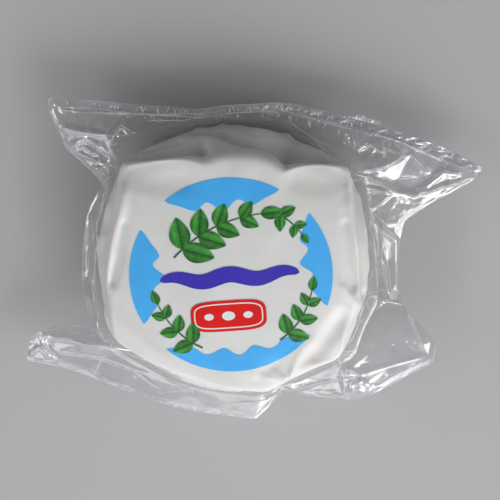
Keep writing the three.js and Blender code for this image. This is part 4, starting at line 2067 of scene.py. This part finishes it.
@dataclass(frozen=True)
class LeafFinish:
    """Drawn leaves: two lit halves, a dark rim and midrib, and slanting veins."""

    dark: tuple = (0.012, 0.075, 0.02, 1.0)
    middle: tuple = (0.025, 0.17, 0.03, 1.0)
    light: tuple = (0.06, 0.29, 0.04, 1.0)
    vein_slant: float = -0.35
    vein_beat: float = 38.0
    vein_depth: float = 0.07
    plain_light: float = 0.5
    half_depth: float = 0.2
    tip_light: float = 0.3
    patch_light: float = 0.7
    patch_size: float = 420.0
    contrast: float = 1.6

    def material(self) -> bpy.types.Material:
        """Builds the material."""
        shader = Shader("leaf_ink")
        along = shader.field("along")
        across = shader.field("across")
        aside = shader.maths("ABSOLUTE", across)
        slant = shader.scaled(aside, self.vein_slant, along)
        veins = shader.maths("SINE", shader.scaled(slant, self.vein_beat))
        light = shader.scaled(shader.maths("SIGN", across), self.half_depth, self.plain_light)
        light = shader.scaled(veins, self.vein_depth, light)
        patches = shader.mottle(self.patch_size, self.contrast)["Patches"]
        light = shader.scaled(patches, self.patch_light, light)
        light = shader.scaled(along, self.tip_light, light)
        halves = [(0.09, self.middle), (0.45, self.light), (0.84, self.middle)]
        tone = shader.ramp(aside, [(0.02, self.dark), *halves, (0.98, self.dark)])
        veined = shader.add("HueSaturation", {"Color": tone, "Value": light})
        return shader.ink(veined.outputs["Color"])


def dress(piece: bpy.types.Object, material: bpy.types.Material) -> None:
    """Gives a piece its material and its place in the part.

    Args:
        piece: The piece.
        material: Its material.
    """
    piece.data.materials.clear()
    piece.data.materials.append(material)
    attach(piece, "root")
    LOG.info("%s: %d points, %d faces", piece.name, len(piece.data.vertices), len(piece.data.polygons))


# The studio

@dataclass(frozen=True)
class Softbox:
    """A long studio lamp that points at the pack."""

    name: str
    at: tuple
    length: float
    breadth: float
    power: float

    def build(self, target: Vector) -> None:
        """Hangs the lamp."""
        lamp = bpy.data.lights.new(self.name, "AREA")
        lamp.shape = "RECTANGLE"
        lamp.size = self.length
        lamp.size_y = self.breadth
        lamp.energy = self.power
        holder = bpy.data.objects.new(self.name, lamp)
        holder.location = self.at
        holder.rotation_euler = (target - Vector(self.at)).to_track_quat("-Z", "Y").to_euler()
        bpy.context.scene.collection.objects.link(holder)


@dataclass(frozen=True)
class Surround:
    """Light from all round: a bright band low over the floor, with windows, strongest at the front."""

    levels: tuple = ((0.0, 0.05), (0.22, 0.1), (0.32, 1.0), (0.60, 1.0), (0.74, 0.2), (1.0, 0.1))
    base: float = 0.74
    rightwards: float = 0.25
    backwards: float = -1.05
    windows: float = 5.0
    phase: float = 0.8
    depth: float = 0.4
    least: float = 0.04
    strength: float = 1.25

    def build(self) -> None:
        """Sets the world up."""
        world = bpy.data.worlds.new("studio")
        bpy.context.scene.world = world
        world.use_nodes = True
        nodes = Nodes(world.node_tree)
        place = nodes.add("TexCoord").outputs["Generated"]
        axes = nodes.add("SeparateXYZ", {"Vector": place}).outputs
        stops = [(height, (level, level, level, 1.0)) for height, level in self.levels]
        beat = nodes.scaled(nodes.maths("ARCTAN2", axes["Y"], axes["X"]), self.windows, self.phase)
        light = nodes.scaled(axes["X"], self.rightwards, self.base)
        light = nodes.scaled(axes["Y"], self.backwards, light)
        light = nodes.scaled(nodes.maths("SINE", beat), self.depth, light)
        light = nodes.scaled(nodes.maths("MAXIMUM", light, self.least), self.strength)
        sky = nodes.tree.nodes["Background"]
        nodes.tree.links.new(nodes.ramp(axes["Z"], stops), sky.inputs["Color"])
        nodes.tree.links.new(light, sky.inputs["Strength"])


@dataclass(frozen=True)
class Studio:
    """A pale floor, soft lamps and the camera of the photograph."""

    floor_half: float = 3.0
    floor_colour: tuple = (0.46, 0.465, 0.475, 1.0)
    surround: Surround = Surround()
    target: tuple = (0.0, 0.0, 0.02)
    tilt: float = 16.8
    eye: tuple = (-0.49, 213.73, 703.71)
    lens: float = 132.6
    lamps: tuple = (
        Softbox("key", (0.60, -0.74, 0.64), 0.90, 0.70, 6.2),
        Softbox("spark", (0.62, -0.42, 0.72), 0.22, 0.14, 0.5),
        Softbox("left", (-0.75, -0.10, 0.60), 0.50, 0.12, 1.5),
        Softbox("top", (0.10, -0.70, 1.10), 0.50, 0.05, 0.35),
    )

    def floor(self) -> None:
        """Lays the floor."""
        side = self.floor_half
        corners = [(-side, -side, 0), (side, -side, 0), (side, side, 0), (-side, side, 0)]
        mesh = bpy.data.meshes.new("floor")
        mesh.from_pydata(corners, [], [(0, 1, 2, 3)])
        floor = bpy.data.objects.new("floor", mesh)
        bpy.context.scene.collection.objects.link(floor)
        shader = Shader("pale_floor")
        body = shader.add("BsdfPrincipled", {"Base Color": self.floor_colour, "Roughness": 0.7})
        floor.data.materials.append(shader.finish(body.outputs["BSDF"]))

    def camera(self) -> None:
        """Sets the camera at the photograph's angle."""
        turn = math.radians(self.tilt)
        right = Vector((1.0, 0.0, 0.0))
        up = Vector((0.0, math.cos(turn), -math.sin(turn)))
        back = Vector((0.0, math.sin(turn), math.cos(turn)))
        view = bpy.data.cameras.new("camera")
        view.lens = self.lens
        view.sensor_width = 36.0
        view.clip_start = 0.01
        holder = bpy.data.objects.new("camera", view)
        rotation = Matrix((right, up, back)).transposed()
        holder.matrix_world = Matrix.Translation(Vector(self.eye) * METRE) @ rotation.to_4x4()
        bpy.context.scene.collection.objects.link(holder)
        bpy.context.scene.camera = holder

    def build(self) -> None:
        """Sets the studio up."""
        self.floor()
        self.camera()
        for lamp in self.lamps:
            lamp.build(Vector(self.target))
        self.surround.build()
        bpy.context.scene.view_settings.view_transform = "Standard"


def main() -> None:
    """Builds the studio and the pack."""
    logging.basicConfig(level=logging.INFO)
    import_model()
    Studio().build()
    wheel = WheelShape()
    relief = FilmRelief()
    bag = BagFilm(wheel, BagOutline(), relief).build()
    dress(bag, FilmFinish().material())
    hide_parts("vacuum_pack")
    skin = skin_of(bag)
    creases = CreaseLines(BagOutline(), relief).build(skin)
    dress(creases, CreaseFinish().material())
    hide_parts("vacuum_pack")
    # The torn wisp's pale haze is partly its own haze and partly painted highlight, as on the creases.
    dress(TornScrap().build(skin), CreaseFinish("torn_film_painted_highlight", veil=0.3).material())
    cheese = CheeseWheel(wheel).build()
    dress(cheese, CheeseFinish().material())
    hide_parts("vacuum_pack")

    design = PrintDesign(FacePrint(wheel))
    dress(design.fields(), InkFinish("sky_blue_ink", (0.075, 0.48, 1.0, 1.0)).material())
    leaves, stems = design.greenery()
    dress(leaves, LeafFinish().material())
    dress(stems, InkFinish("stem_ink", (0.03, 0.16, 0.04, 1.0)).material())
    dress(design.wave(), InkFinish("violet_ink", (0.055, 0.035, 0.5, 1.0)).material())
    plaque, drops = design.badge()
    dress(plaque, InkFinish("red_ink", (0.78, 0.006, 0.004, 1.0)).material())
    dress(drops, InkFinish("white_ink", (0.88, 0.88, 0.88, 1.0)).material())


if __name__ == "__main__":
    main()
